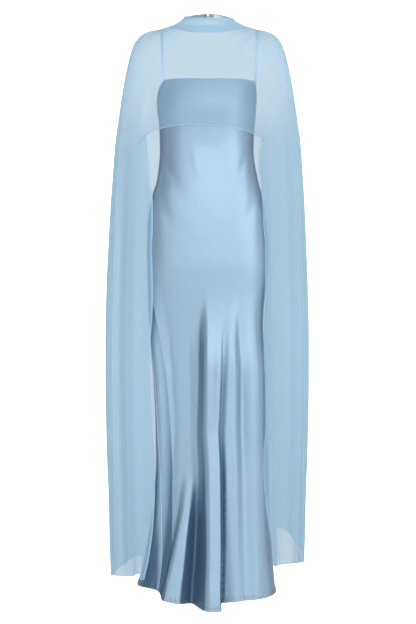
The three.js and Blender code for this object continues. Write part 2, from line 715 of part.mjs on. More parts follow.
// Where a row of a cape front half starts: the ring, angle and roll of its free edge.
function rowStart(hand, row) {
  const side = hand === "left" ? -1 : 1;
  if (row <= yokeRows) return { ring: seamRing(hand, row), angle: 0, side, roll: 0 };
  const corner = ringAt(hemCurves[hand + "Z"](1));
  if (row <= yokeRows + hemRows) {
    const along = (row - yokeRows) / hemRows;
    const ring = ringAt(hemCurves[hand + "Z"](along));
    return { ring, angle: angleAtX(hemCurves[hand](along), ring), side, roll: 0 };
  }
  const ring = blend(corner, ringAt(fallHems[hand](0)), (row - yokeRows - hemRows) / fallRows);
  return { ring, side };
}

// The cell of a cape front half at a share of its width and a row: its angle, ring and free edge.
function frontCell(hand, share, row) {
  const side = hand === "left" ? -1 : 1;
  const start = rowStart(hand, row);
  const seam = seamRing(hand, row);
  if (row <= yokeRows + hemRows) {
    const ring = blend(start.ring, seam, share);
    return { angle: blend(start.angle, seamAngle(hand, ring, "front"), share), ring, edge: start };
  }
  const along = (row - yokeRows - hemRows) / fallRows;
  const corner = ringAt(hemCurves[hand + "Z"](1));
  const ring = blend(corner + cornerDrop * share, ringAt(fallHems[hand](share)), along);
  const z = cape.sideZ(ring);
  const roll = ease((rollStartZ - z) / (rollStartZ - rollFullZ));
  const flat = edgeCurves[hand](z) - side * roll * (rollLength - rollRadius);
  const edge = { angle: angleAtX(flat, ring), side, roll };
  return { angle: blend(edge.angle, seamAngle(hand, ring, "front"), share), ring, edge };
}

// Joins two halves of a panel along the rows where they share their centre points.
function joinHalves(halves, sharesCentre, thickness) {
  const points = [];
  const normals = [];
  const quads = [];
  const centres = [];
  halves.forEach(({ columns, centreColumn, cellAt }) => {
    const ids = Array.from({ length: capeRowCount + 1 }, (_, row) =>
      Array.from({ length: columns }, (_, column) => {
        const isShared = column === centreColumn && sharesCentre(row);
        if (isShared && centres[row] !== undefined) return centres[row];
        const { angle, ring, edge } = cellAt(column, row);
        const surface = edge ? (a, r) => fallPoint(a, r, edge) : capePoint;
        points.push(surface(angle, ring));
        normals.push(normalOf(surface, angle, ring, 0.05, -0.01));
        if (isShared) centres[row] = points.length - 1;
        return points.length - 1;
      }),
    );
    for (let row = 0; row < capeRowCount; row += 1) {
      for (let column = 0; column < columns - 1; column += 1) {
        quads.push([ids[row][column], ids[row + 1][column], ids[row + 1][column + 1], ids[row][column + 1]]);
      }
    }
  });
  return clothWall(points, normals, quads, thickness);
}

// The cape front: two halves that share the centre line above the yoke's hem.
function capeFront() {
  const last = frontShares.length - 1;
  const halves = [
    {
      columns: last + 1,
      centreColumn: last,
      cellAt: (column, row) => frontCell("left", frontShares[last - column], row),
    },
    {
      columns: last + 1,
      centreColumn: 0,
      cellAt: (column, row) => frontCell("right", frontShares[column], row),
    },
  ];
  return named("cape_front", joinHalves(halves, (row) => row <= yokeRows, chiffonWall), chiffon);
}

// Angles of the columns of a cape back half on a ring, from lower to higher angle.
function backAngles(hand, ring, centre) {
  const isRight = hand === "right";
  const wanted = capeFolds
    .flatMap((fold) => [fold.from, (fold.from + fold.to) / 2, fold.to])
    .filter((angle) => (isRight ? angle > 80 && angle < 180 : angle > 180 && angle < 280));
  const seam = seamAngle(hand, ring, "back") + (isRight ? 0 : 360);
  return isRight ? orderedAngles(wanted, seam, centre) : orderedAngles(wanted, centre, seam);
}

// The cell of a cape back half at a column and row.
function backCell(hand, column, row) {
  const isRight = hand === "right";
  const count = backAngles(hand, 12, 180).length;
  const share = isRight ? column / (count - 1) : 1 - column / (count - 1);
  const middleRing = (seamRing("left", row) + seamRing("right", row)) / 2;
  const turnRow = yokeRows + hemRows;
  let ring = blend(seamRing(hand, row), middleRing, ease(share));
  if (row > turnRow) {
    const middleTurn = (seamRing("left", turnRow) + seamRing("right", turnRow)) / 2;
    const start = blend(seamRing(hand, turnRow), middleTurn, ease(share));
    ring = blend(start, ringAt(backHems[hand](share)), (row - turnRow) / fallRows);
  }
  const half = row < keyholeRow ? (slit(ring) / cape.side(ring)) * (180 / Math.PI) : 0;
  return { angle: backAngles(hand, ring, 180 + (isRight ? -half : half))[column], ring };
}

// The cape back: two halves that share the centre line below the keyhole.
function capeBack() {
  const halves = ["right", "left"].map((hand) => {
    const columns = backAngles(hand, 12, 180).length;
    const centreColumn = hand === "right" ? columns - 1 : 0;
    return { columns, centreColumn, cellAt: (column, row) => backCell(hand, column, row) };
  });
  return named("cape_back", joinHalves(halves, (row) => row >= keyholeRow, chiffonWall), chiffon);
}

// Angles all round the collar, from one side of the centre back opening to the other, in step with the cape's.
function collarAngles(ring) {
  const half = (slit(ring) / cape.side(ring)) * (180 / Math.PI);
  const back = (hand, centre) => backAngles(hand, ring, centre);
  const left = back("left", 180 + half).map((angle) => angle - 360);
  const right = back("right", 180 - half);
  const front = (hand) => frontShares.map((share) => blend(0, seamAngle(hand, ring, "front"), share));
  return [...left.slice(0, -1), ...front("left").reverse(), ...front("right").slice(1), ...right.slice(1)];
}

// The funnel collar.
function collar() {
  const rows = 3;
  const columns = collarAngles(1).length;
  const points = [];
  const normals = [];
  for (let row = 0; row <= rows; row += 1) {
    const ring = (collarBaseRing * row) / rows;
    collarAngles(ring).forEach((angle) => {
      points.push(capePoint(angle, ring));
      normals.push(normalOf(capePoint, angle, ring, 0.05, -0.01));
    });
  }
  return named("collar", clothWall(points, normals, gridQuads(columns - 1, rows), collarWall), chiffon);
}

// A point beside the cape's outer face, outside it or, where out is negative, inside.
function nearCape(angle, ring, out) {
  return capePoint(angle, ring).addScaledVector(normalOf(capePoint, angle, ring, 0.5, -0.02), out);
}

// A tape inside the back of the collar, between two angles and two rings.
function innerTape(name, angles, rings, across) {
  const surface = (u, v) =>
    nearCape(blend(angles[0], angles[1], u), blend(rings[0], rings[1], v), -(collarWall + seamGap));
  return named(name, gridWall(surface, across, 2, tapeWall), tape);
}

// The angle and ring of a place on the collar's back, in millimetres from the button's middle.
function onCollarBack(across, up) {
  const perRing = capePoint(180, buttonRing).distanceTo(capePoint(180, buttonRing + 1));
  const x = buttonX + across;
  return [180 - (x / cape.side(buttonRing)) * (180 / Math.PI), buttonRing - up / perRing];
}

// The button, a low dome with a flat back.
function neckButton() {
  const profile = [
    new THREE.Vector2(0, 0),
    new THREE.Vector2(buttonRadius * 0.8, 0),
    new THREE.Vector2(buttonRadius, buttonHeight * 0.35),
    new THREE.Vector2(buttonRadius * 0.8, buttonHeight * 0.8),
    new THREE.Vector2(buttonRadius * 0.4, buttonHeight),
    new THREE.Vector2(0, buttonHeight),
  ];
  const mesh = named("neck_button", new THREE.LatheGeometry(profile, 20), pearl);
  const [angle, ring] = onCollarBack(0, 0);
  mesh.position.copy(nearCape(angle, ring, seamGap + 0.4));
  mesh.quaternion.setFromUnitVectors(new THREE.Vector3(0, 1, 0), normalOf(capePoint, angle, ring, 0.5, -0.02));
  return mesh;
}

// The flat loop round the button, with both feet on the other side of the opening.
function neckLoop() {
  const straight = (loopFoot - buttonX) / loopRadius;
  const length = 2 * straight + Math.PI;
  const surface = (u, v) => {
    const radius = loopRadius + loopWidth * (u - 0.5);
    const along = v * length;
    const turn = Math.min(Math.PI, Math.max(0, along - straight));
    const foot = Math.max(0, straight - along) + Math.max(0, along - straight - Math.PI);
    const across = -radius * Math.sin(turn) + foot * loopRadius;
    const up = radius * Math.cos(turn);
    const [angle, ring] = onCollarBack(across, up);
    return nearCape(angle, ring, seamGap + tapeWall);
  };
  return named("neck_loop", gridWall(surface, 1, 22, tapeWall, 0.004), satin);
}

const dress = new THREE.Group();
dress.name = "cape_dress";
dress.add(
  slipFront(),
  slipBack(),
  strap("left"),
  strap("right"),
  capeFront(),
  capeBack(),
  collar(),
  innerTape("neck_label", labelAngles, labelRings, 8),
  innerTape("size_tab", sizeTabAngles, sizeTabRings, 2),
  neckButton(),
  neckLoop(),
);

export default dress;
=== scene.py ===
"""Cape dress: a bias-cut satin slip under a sheer chiffon cape, with its sewing, materials, light and camera.

Sizes in the tables are millimetres and degrees. Angles go round the body: 0 is centre front, 90 the
viewer's right, 180 centre back and -90 the viewer's left. Rings number the cape's sections from the
collar's top edge down.
"""

import json
import math

import bmesh
import bpy
import numpy as np
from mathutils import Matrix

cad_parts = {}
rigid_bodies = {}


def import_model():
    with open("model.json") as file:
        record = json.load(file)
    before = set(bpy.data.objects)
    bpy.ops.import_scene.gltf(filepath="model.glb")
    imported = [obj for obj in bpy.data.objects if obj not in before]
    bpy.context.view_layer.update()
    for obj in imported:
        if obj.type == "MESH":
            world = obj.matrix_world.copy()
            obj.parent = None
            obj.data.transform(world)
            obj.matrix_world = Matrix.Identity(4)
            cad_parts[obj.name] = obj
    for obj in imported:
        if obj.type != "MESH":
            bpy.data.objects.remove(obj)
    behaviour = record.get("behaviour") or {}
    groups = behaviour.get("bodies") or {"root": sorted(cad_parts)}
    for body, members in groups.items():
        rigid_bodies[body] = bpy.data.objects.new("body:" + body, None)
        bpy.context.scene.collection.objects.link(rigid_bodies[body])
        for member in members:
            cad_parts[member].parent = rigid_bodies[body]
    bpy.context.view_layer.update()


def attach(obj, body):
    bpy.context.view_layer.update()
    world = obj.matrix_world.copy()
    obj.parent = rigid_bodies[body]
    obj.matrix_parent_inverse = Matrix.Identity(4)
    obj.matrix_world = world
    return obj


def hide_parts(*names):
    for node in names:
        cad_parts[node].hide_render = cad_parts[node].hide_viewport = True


bl_info = {
    "name": "Cape dress",
    "version": (1, 0, 0),
    "blender": (4, 5, 0),
    "location": "3D view > Sidebar > Cape dress",
    "description": "Makes a satin slip dress with a sheer cape over the packed frame, and a plain studio",
    "category": "Object",
}

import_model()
METRES = 0.001


def table(columns, rows):
    """Gives one array for each named column of a table."""
    return dict(zip(columns.split(), np.array(rows, float).T))


# Levels of the slip, and how flat the front and back of a section are: 1 is an ellipse, and less is squarer.
KNEE_Z = -1078
HEM_Z = -1520
FOLD_GROWTH = 240
BUST_FLATNESS = 0.8
FRONT_FLATNESS = 0.6
BACK_FLATNESS = 0.8
FLAT_START = -280
FLAT_FULL = -480
ARC_PER_DEGREE = 2.3
CAPE_FLATNESS = 0.85
RING_FALL = 1.5

# Sections of the slip: how far it reaches from the origin to each side at a height.
SLIP_SECTIONS = table(
    "z left right front back",
    [
        (-1560, 200, 186, 142, 154),
        (-1500, 191, 181, 138, 146),
        (-1430, 174, 175, 131, 135),
        (-1340, 157, 168, 123, 122),
        (-1250, 146, 163, 116, 112),
        (-1159, 140, 160, 110, 105),
        (-1078, 141, 158, 107, 102),
        (-943, 147, 159, 104, 103),
        (-862, 154, 160, 103, 106),
        (-700, 162, 163, 105, 117),
        (-600, 165, 163, 107, 121),
        (-520, 162, 157, 107, 117),
        (-448, 151, 146, 105, 108),
        (-405, 138, 135, 102, 100),
        (-324, 130, 123, 99, 88),
        (-257, 132, 126, 107, 88),
        (-214, 137, 130, 112, 88),
        (-120, 132, 128, 97, 84),
    ],
)
SLIP_SEAMS = table(
    "z left right",
    [
        (-1540, -46, 98),
        (-1430, -53, 97),
        (-1320, -64, 96),
        (-1185, -72, 94),
        (-1075, -75, 93),
        (-915, -78, 91),
        (-808, -83, 90),
        (-700, -89, 90),
        (-120, -90, 90),
    ],
)

# Flanks of the slip's long folds: where each starts, its two angles there, at the knee and at the hem, and
# how far it rises at the knee and at the hem. One last flank at the back takes back what is left over.
SLIP_FOLDS = [
    ("left hollow", -1080, (-56, -48), (-58, -46), (-64, -54), (-3, -5)),
    ("left front hollow", -620, (-80, -50), (-80, -50), (-84, -62), (-30, -14)),
    ("left ridge, left side", -1150, (-37, -27), (-37, -27), (-45.5, -32), (12, 36)),
    ("left ridge, right side", -1150, (-26, -20.5), (-26, -20.5), (-22, -12.5), (-12, -42)),
    ("main flank", -676, (-7, 0.5), (-18.5, -3), (-13, 3.5), (42, 70)),
    ("main ridge, right edge", -740, (13.5, 16.5), (6.2, 9.2), (9.6, 12.4), (-14, -48)),
    ("second ridge, left side", -700, (17.5, 24), (9.6, 15.4), (12.6, 15.6), (10, 6)),
    ("second ridge, right side", -670, (24, 33), (22, 34), (24, 36), (-13, -6)),
    ("third ridge, left side", -760, (35, 43), (36, 47), (37, 48), (13, 4)),
    ("right front fall", -660, (54, 70), (54, 70), (54, 70), (-8, -1)),
    ("back right hollow", -760, (115, 121), (112, 124), (114, 126), (-9, -12)),
    ("back right pleat", -760, (136.5, 141.5), (134, 144), (136, 147), (16, 20)),
    ("back middle hollow", -720, (163, 169), (160, 172), (158, 172), (-14, -18)),
    ("back left pleat", -720, (188.5, 193.5), (186, 196), (188, 200), (18, 22)),
    ("back left hollow", -800, (217.5, 224.5), (214, 228), (216, 232), (-12, -16)),
]
CLOSING_FLANK = (244, 262)

# Painted shade in the slip's folds, which darkens the satin's colour: the rise that counts in full, how far
# off a top or bottom may lie, a full height, and how dark the painted shade on the sides under the cape is.
SHADE_RISE = 9
SHADE_NEAR = 28
SHADE_HEIGHT = 42
SIDE_SHADE = 0.42

# Soft creases of the slip: from one angle and height to another, half width and depth.
SLIP_CREASES = table(
    "angle z end_angle end_z width depth",
    [
        (-66, -330, -20, -470, 16, -2.2),
        (-60, -430, -30, -560, 18, -2.0),
        (58, -330, 30, -430, 14, -2.0),
        (62, -420, 34, -560, 18, -2.2),
        (-18, -300, -8, -420, 12, 1.4),
        (8, -290, 14, -430, 12, -1.4),
        (112, -330, 160, -450, 18, -2.4),
        (248, -330, 200, -450, 18, -2.4),
        (120, -480, 165, -620, 20, -2.0),
        (240, -480, 195, -620, 20, -2.0),
    ],
)

SLIP_TOP = table(
    "angle z",
    [
        (-90, -196),
        (-80, -173),
        (-70, -153),
        (-63, -145),
        (-57, -141.5),
        (-30, -141),
        (0, -144),
        (30, -142),
        (66, -142),
        (75, -144),
        (80, -149),
        (85, -161),
        (90, -186),
        (105, -182),
        (128, -168),
        (180, -176),
        (232, -168),
        (255, -182),
        (270, -196),
    ],
)
SLIP_HEM = table(
    "angle z",
    [
        (-90, -1489),
        (-60, -1492),
        (-48, -1498),
        (-43, -1509),
        (-28, -1518),
        (-12, -1526),
        (3, -1536),
        (10.5, -1535),
        (13.5, -1520),
        (50, -1515),
        (90, -1508),
        (180, -1510),
        (230, -1500),
        (270, -1489),
    ],
)

# Rings of the cape: half width and height at the sides, depth and height at centre front and centre back.
CAPE_RINGS = table(
    "side side_z front front_z back back_z middle",
    [
        (62, 39.5, 50, 26, 50, 56, 10),
        (78, 26, 57, 9, 56, 38, 10),
        (104, 13, 65, -13, 62, 20, 9),
        (130, 5.5, 74, -36, 71, -3, 8),
        (156, 0, 85, -60, 82, -28, 8),
        (178, -9.5, 96, -86, 92, -54, 8),
        (195, -27, 106, -112, 100, -82, 8),
        (207, -53, 115, -138, 106, -112, 8),
        (216, -88, 123, -164, 110, -144, 8),
        (225, -131, 129, -190, 114, -178, 8),
        (233.5, -183, 132, -216, 118, -212, 8),
        (241, -234, 131, -242, 122, -242, 8),
        (245, -262, 128, -262, 125, -262, 8),
        (250.6, -303, 121, -303, 130, -303, 8),
        (257, -389, 109, -389, 137, -389, 8),
        (261, -456, 104, -456, 143, -456, 8),
        (266.5, -580, 100, -580, 150, -580, 8),
        (271, -705, 98, -705, 154, -705, 8),
        (273.7, -829, 97, -829, 157, -829, 8),
        (273.5, -954, 97, -954, 160, -954, 8),
        (272, -1051, 98, -1051, 163, -1051, 8),
        (269, -1163, 102, -1163, 168, -1163, 8),
        (265.5, -1247, 108, -1247, 173, -1247, 8),
        (262.5, -1371, 120, -1371, 181, -1371, 8),
        (259.5, -1463, 131, -1463, 187, -1463, 8),
        (258, -1520, 136, -1520, 190, -1520, 8),
    ],
)
CAPE_RINGS["ring"] = np.arange(len(CAPE_RINGS["side"]), dtype=float)
COLLAR_BASE_RING = 2.0
FIRST_LEVEL_RING = 12
CAPE_SEAMS = table(
    "ring left right",
    [(0, -86, 86), (2, -84, 84), (4, -77, 76), (6, -71, 70), (12, -70, 69), (20, -69, 71), (25, -74, 79)],
)

CAPE_FOLD_START = -120
CAPE_FOLD_FULL = -720
CAPE_FOLDS = [
    ("left fall, outer hollow", -70, -62, -7),
    ("left fall, ridge", -60, -52, 13),
    ("left fall, inner side", -48, -38, -6),
    ("right fall, inner side", 38, 47, 7),
    ("right fall, ridge", 52, 60, -14),
    ("right fall, outer hollow", 62, 70, 7),
    ("back, right side", 84, 96, -8),
    ("back, first ridge", 102, 112, 20),
    ("back, first hollow", 120, 130, -24),
    ("back, second ridge", 138, 147, 24),
    ("back, middle hollow", 156, 167, -22),
    ("back, middle ridge", 172, 181, 19),
    ("back, third hollow", 189, 199, -21),
    ("back, third ridge", 207, 217, 24),
    ("back, last hollow", 226, 237, -22),
    ("back, last ridge", 246, 256, 18),
    ("back, left side", 262, 272, -8),
]

# Creases of the cape: from one ring and angle to another, half width in rings, and depth.
CREASE_DEGREES = 12
CAPE_CREASES = table(
    "ring angle end_ring end_angle width depth",
    [
        (2.6, 66, 3.2, 8, 0.3, 3.4),
        (3.0, 70, 4.0, 30, 0.22, -3.0),
        (3.1, 62, 5.2, 22, 0.34, 3.6),
        (3.3, 60, 5.6, 34, 0.2, -2.6),
        (3.4, 56, 9, 33, 0.4, 4.2),
        (3.6, 62, 9, 38, 0.25, -2.8),
        (2.7, -66, 3.4, -20, 0.4, 1.6),
        (12.8, -47, 8.6, -46, 0.3, 3.0),
        (12.6, 41, 9.5, 38, 0.3, 2.4),
    ],
)

YOKE_HEM = table(
    "share left left_z right right_z",
    [
        (0, 0, -267, 0, -267),
        (0.3, -50, -264, 45, -269),
        (0.6, -104, -271, 90, -278),
        (0.85, -143, -281.5, 123, -290),
        (1, -163.7, -290.4, 140.6, -299),
    ],
)
FALL_EDGE = table(
    "z left right",
    [
        (-290, -163.7, 140.6),
        (-318, -161.6, 140.6),
        (-337, -160, 135.3),
        (-358, -158, 134.5),
        (-386, -156.5, 134.8),
        (-403, -155.5, 139.8),
        (-429, -154, 143.8),
        (-463, -151, 147.7),
        (-490, -150.6, 149.8),
        (-537, -150.5, 152),
        (-584, -153, 156),
        (-700, -150, 156),
        (-775, -152, 154),
        (-860, -159, 152),
        (-950, -158, 156),
        (-1055, -152, 157),
        (-1160, -146, 150),
        (-1237, -145, 154),
        (-1320, -149, 164),
        (-1421, -163, 177),
        (-1470, -174, 181),
    ],
)
ROLL_RADIUS = 6
ROLL_LENGTH = 18
ROLL_START_Z = -330
ROLL_FULL_Z = -470
FALL_HEM = table(
    "share left right",
    [
        (0, -1463, -1432),
        (0.13, -1466, -1430),
        (0.2, -1404, -1332),
        (0.5, -1421, -1350),
        (0.8, -1440, -1392),
        (1, -1459, -1424),
    ],
)
CAPE_BACK_HEM = table(
    "share left right", [(0, -1459, -1424), (0.25, -1478, -1444), (0.5, -1490, -1460), (1, -1482, -1482)]
)
KEYHOLE = table("ring half", [(0, 2.6), (0.3, 0.6), (2, 0.5), (4, 0.5), (5, 0.45), (5.6, 0.15)])
KEYHOLE_END = 5.6
CORNER_DROP = 1.6

COLLAR_WALL = 1.6
COLLAR_SLUMP = 0.45
SLUMP_ANGLE = 85
SLUMP_WIDTH = 35
FACING_DEPTH = -2.2
FACING_END_ANGLE = 80
TURNED_HEM_DEPTH = -1.9
HEM_RADIUS = 0.9
SEAM_GAP = 0.36
LABEL_ANGLES = (126, 166)
LABEL_RINGS = (0.05, 0.78)
LABEL_FLAT = (0.043, 0.014)
TAB_ANGLES = (124.5, 134.5)
TAB_RINGS = (0.82, 1.28)
TAB_FLAT = (0.011, 0.0105)
BUTTON_X = -5
BUTTON_RING = 0.45
LOOP_RADIUS = 5.7
LOOP_FOOT = 2.2

STRAP_WIDTH = 5.4
STRAP_RISE = 0.8
STRAP_PATHS = {
    "strap_left": [
        (-117, -54, -146),
        (-118.5, -54, -108),
        (-121, -50, -70),
        (-123.5, -38, -32),
        (-125, -16, -5.5),
        (-125.5, 8, 3.4),
        (-125.6, 30, -4),
        (-125.4, 45, -34),
        (-123, 48, -80),
        (-120, 45, -125),
        (-117, 40, -168),
    ],
    "strap_right": [
        (129, -29, -148),
        (130.5, -37, -110),
        (132, -38, -72),
        (133.3, -31, -33),
        (134, -14, -6.5),
        (134, 8, 2.2),
        (134, 29, -5),
        (133.8, 43, -34),
        (132.5, 46, -80),
        (130, 41, -125),
        (126.5, 34, -170),
    ],
}


# Small helpers for curves and folds.


def ease(value):
    """Goes smoothly from 0 to 1 between 0 and 1: 3v squared minus 2v cubed."""
    share = np.clip(value, 0, 1)
    return share * share * (3 - 2 * share)


def curve(rows, by, column, x):
    """A smooth curve through a table's column with no overshoot between its rows.

    Between two rows it is the cubic with the harmonic mean of the neighbouring slopes as its slope at each
    row. Beyond the ends it is straight.
    """
    order = np.argsort(rows[by])
    at, value = rows[by][order], rows[column][order]
    width = np.diff(at)
    slope = np.diff(value) / width
    product = slope[:-1] * slope[1:]
    total = slope[:-1] + slope[1:]
    mean = np.where(product > 0, 2 * product / np.where(total == 0, 1, total), 0)
    tangent = np.concatenate([slope[:1], mean, slope[-1:]])
    x = np.asarray(x, float)
    inside = np.clip(x, at[0], at[-1])
    i = np.clip(np.searchsorted(at, inside, "right") - 1, 0, len(width) - 1)
    s = (inside - at[i]) / width[i]
    before = (1 + 2 * s) * (1 - s) ** 2 * value[i] + s * (1 - s) ** 2 * width[i] * tangent[i]
    after = s * s * (3 - 2 * s) * value[i + 1] + s * s * (s - 1) * width[i] * tangent[i + 1]
    past_end = np.where(x > at[-1], tangent[-1] * (x - at[-1]), 0)
    return before + after + np.where(x < at[0], tangent[0] * (x - at[0]), past_end)


def blend(a, b, share):
    """Goes straight from a to b."""
    return a + (b - a) * share


def unit(vectors):
    """The same directions with a length of 1: each vector over its length."""
    return vectors / np.linalg.norm(vectors, axis=-1, keepdims=True)


def wrapped(angle):
    """Brings an angle into the range from -90 up to 270 degrees."""
    return (np.asarray(angle, float) + 90) % 360 - 90


def outward(sine, cosine, width, depth):
    """The level direction that is square to an ellipse with a half width and a depth."""
    x, y = sine / width, -cosine / depth
    length = np.hypot(x, y)
    return x / length, y / length


# The slip's surface.


def slip_relief(angle, z):
    """Sum over the folds of rise times how far the angle has passed the flank, grown below its start.

    The slip's soft creases add depth times exp(-(distance / width) squared) beside each of their lines.
    """
    a = wrapped(angle)
    below = np.clip((KNEE_Z - z) / (KNEE_Z - HEM_Z), 0, None)
    total, left_over = np.zeros(np.broadcast(a, z).shape), 0 * z
    for _, start, above, knee, hem, rise in SLIP_FOLDS:
        near_knee = np.clip((start - z) / max(1, start - KNEE_Z), 0, 1)
        low, high = (blend(blend(above[i], knee[i], near_knee), hem[i], below) for i in (0, 1))
        grown = blend(rise[0], rise[1], np.minimum(below, 1)) * ease((start - z) / FOLD_GROWTH)
        total = total + grown * ease((a - low) / (high - low))
        left_over = left_over + grown
    low, high = CLOSING_FLANK
    return total - left_over * ease((a - low) / (high - low)) + slip_creases(a, z)


def slip_creases(angle, z):
    """Soft ridges and troughs along straight lines on the slip, laid out flat as arc length and height."""
    total = np.zeros(np.broadcast(angle, z).shape)
    rows = zip(*(SLIP_CREASES[name] for name in "angle z end_angle end_z width depth".split()))
    for start, start_z, end, end_z, width, depth in rows:
        along_x, along_z = (end - start) * ARC_PER_DEGREE, end_z - start_z
        length = math.hypot(along_x, along_z)
        x, y = (angle - start) * ARC_PER_DEGREE, z - start_z
        share = (x * along_x + y * along_z) / length**2
        away = np.abs(x * along_z - y * along_x) / length
        total = total + depth * ease(share * 2.5) * ease((1 - share) * 2.5) * np.exp(-((away / width) ** 2))
    return total


def slip_point(angle, z):
    """x is the centre plus half width times sine, y is minus depth times cosine to the power of the flatness.

    The relief then moves the point level and square to the section.
    """
    left, right = curve(SLIP_SECTIONS, "z", "left", z), curve(SLIP_SECTIONS, "z", "right", z)
    half, centre = (left + right) / 2, (right - left) / 2
    sine, cosine = np.sin(np.radians(angle)), np.cos(np.radians(angle))
    depth = np.where(cosine > 0, curve(SLIP_SECTIONS, "z", "front", z), curve(SLIP_SECTIONS, "z", "back", z))
    out_x, out_y = outward(sine, cosine, half, depth)
    relief = slip_relief(angle, z)
    x = centre + half * sine + out_x * relief
    front = blend(BUST_FLATNESS, FRONT_FLATNESS, ease((FLAT_START - z) / (FLAT_START - FLAT_FULL)))
    flatness = np.where(cosine > 0, front, BACK_FLATNESS)
    y = -depth * np.sign(cosine) * np.abs(cosine) ** flatness + out_y * relief
    return np.stack([x, y, z + 0 * x], axis=-1)


def slip_panel(start, end, columns, rows):
    """A panel of the slip between two seams. start and end give a seam's angle at a height.

    Each point's height lies between the top edge and the hem at its own angle, found by a few repeats.
    """
    across = np.linspace(0, 1, columns)[None, :]
    down = (np.linspace(0, 1, rows) ** 1.1)[:, None]
    z = blend(-196, HEM_Z, down) + 0 * across
    for _ in range(8):
        angle = blend(start(z), end(z), across)
        top = curve(SLIP_TOP, "angle", "z", wrapped(angle))
        z = blend(top, curve(SLIP_HEM, "angle", "z", wrapped(angle)), down)
    return slip_point(blend(start(z), end(z), across), z)


# The cape's surface.


def ring_value(column, ring):
    """A column of the cape's rings, as a smooth curve over the ring."""
    return curve(CAPE_RINGS, "ring", column, ring)


def cape_relief(angle, z):
    """Sum over the long folds of rise times how far the angle has passed the flank, grown from the chest."""
    a = wrapped(angle)
    total = sum(rise * ease((a - low) / (high - low)) for _, low, high, rise in CAPE_FOLDS)
    return total * ease((CAPE_FOLD_START - z) / (CAPE_FOLD_START - CAPE_FOLD_FULL))


def crease_relief(angle, ring):
    """Soft ridges along straight lines on the cape, laid out as angle and ring, that fade at both ends."""
    total = np.zeros(np.broadcast(angle, ring).shape)
    names = "ring angle end_ring end_angle width depth".split()
    for start, angle0, end, angle1, width, depth in zip(*(CAPE_CREASES[name] for name in names)):
        along_x, along_y = (angle1 - angle0) / CREASE_DEGREES, end - start
        length = math.hypot(along_x, along_y)
        x, y = (angle - angle0) / CREASE_DEGREES, ring - start
        share = (x * along_x + y * along_y) / length**2
        away = np.abs(x * along_y - y * along_x) / length / width
        total = total + depth * ease(share * 4) * ease((1 - share) * 1.5) * np.exp(-(away**2))
    return total


def cape_point(angle, ring):
    """x is the side times sine, y is the middle minus depth times cosine to the power of the flatness.

    z goes from the side's height to the front's or back's with cosine to the power of RING_FALL. The
    collar's edge slumps on the right: up to ring 1 a bell curve round SLUMP_ANGLE starts it further down.
    """
    angle, ring = np.broadcast_arrays(np.asarray(angle, float), np.asarray(ring, float))
    slump = COLLAR_SLUMP * np.exp(-(((angle - SLUMP_ANGLE) / SLUMP_WIDTH) ** 2))
    ring = ring + slump * np.maximum(0, 1 - ring)
    sine, cosine = np.sin(np.radians(angle)), np.cos(np.radians(angle))
    front = cosine > 0
    side = ring_value("side", ring)
    depth = np.where(front, ring_value("front", ring), ring_value("back", ring))
    end_z = np.where(front, ring_value("front_z", ring), ring_value("back_z", ring))
    z = blend(ring_value("side_z", ring), end_z, np.abs(cosine) ** RING_FALL)
    out_x, out_y = outward(sine, cosine, side, depth)
    relief = cape_relief(angle, z) + np.where(front, crease_relief(angle, ring), 0)
    x = side * sine + out_x * relief
    middle = ring_value("middle", ring)
    y = middle - depth * np.sign(cosine) * np.abs(cosine) ** CAPE_FLATNESS + out_y * relief
    return np.stack([x, y, z], axis=-1)


def ring_at(z):
    """The ring of the cape's level part that lies at a height, read off its side column backwards."""
    ring = np.linspace(FIRST_LEVEL_RING - 1, len(CAPE_RINGS["ring"]) - 1, 2000)
    return np.interp(-np.asarray(z, float), -ring_value("side_z", ring), ring)


def angle_at_x(x, ring):
    """The angle at which the cape's front reaches x on a ring, by repeated correction."""
    angle = np.zeros(np.broadcast(x, ring).shape)
    for _ in range(12):
        short = x - cape_point(angle, ring)[..., 0]
        angle = angle + np.degrees(short / ring_value("side", ring)) / np.cos(np.radians(angle))
    return angle


def fall_point(angle, ring, edge_angle, side, roll):
    """A point of the cape front, with the last stretch before the free edge rolled under in a circle.

    Beyond the start of the roll, distance along the cloth becomes a turn of distance / radius.
    """
    flat = cape_point(angle, ring)
    width = ring_value("side", ring)
    from_edge = np.radians((angle - edge_angle) * side) * width
    start_angle = edge_angle + side * np.degrees(ROLL_LENGTH / width)
    start = cape_point(start_angle, ring)
    along = cape_point(start_angle - side, ring) - start
    along[..., 2] = 0
    along = unit(along)
    inward = np.stack([along[..., 1], -along[..., 0], 0 * side * ring], axis=-1) * side
    turn = (np.maximum(0, ROLL_LENGTH - from_edge) / ROLL_RADIUS)[..., None]
    rolled = start + ROLL_RADIUS * (np.sin(turn) * along + (1 - np.cos(turn)) * inward)
    rolled[..., 2] = flat[..., 2]
    amount = np.where(from_edge < ROLL_LENGTH, roll, 0)[..., None]
    return blend(flat, rolled, amount)


def seam_angle(hand, ring):
    """The angle of the cape's side seam on a ring."""
    return curve(CAPE_SEAMS, "ring", hand, ring)


def cape_front_yoke(hand, columns, rows):
    """Half of the yoke above its hem's centre: from centre front to the side seam on each ring."""
    across = np.linspace(0, 1, columns)[None, :]
    ring = blend(COLLAR_BASE_RING, ring_at(YOKE_HEM["left_z"][0]), np.linspace(0, 1, rows)[:, None])
    return cape_point(seam_angle(hand, ring) * across, ring + 0 * across)


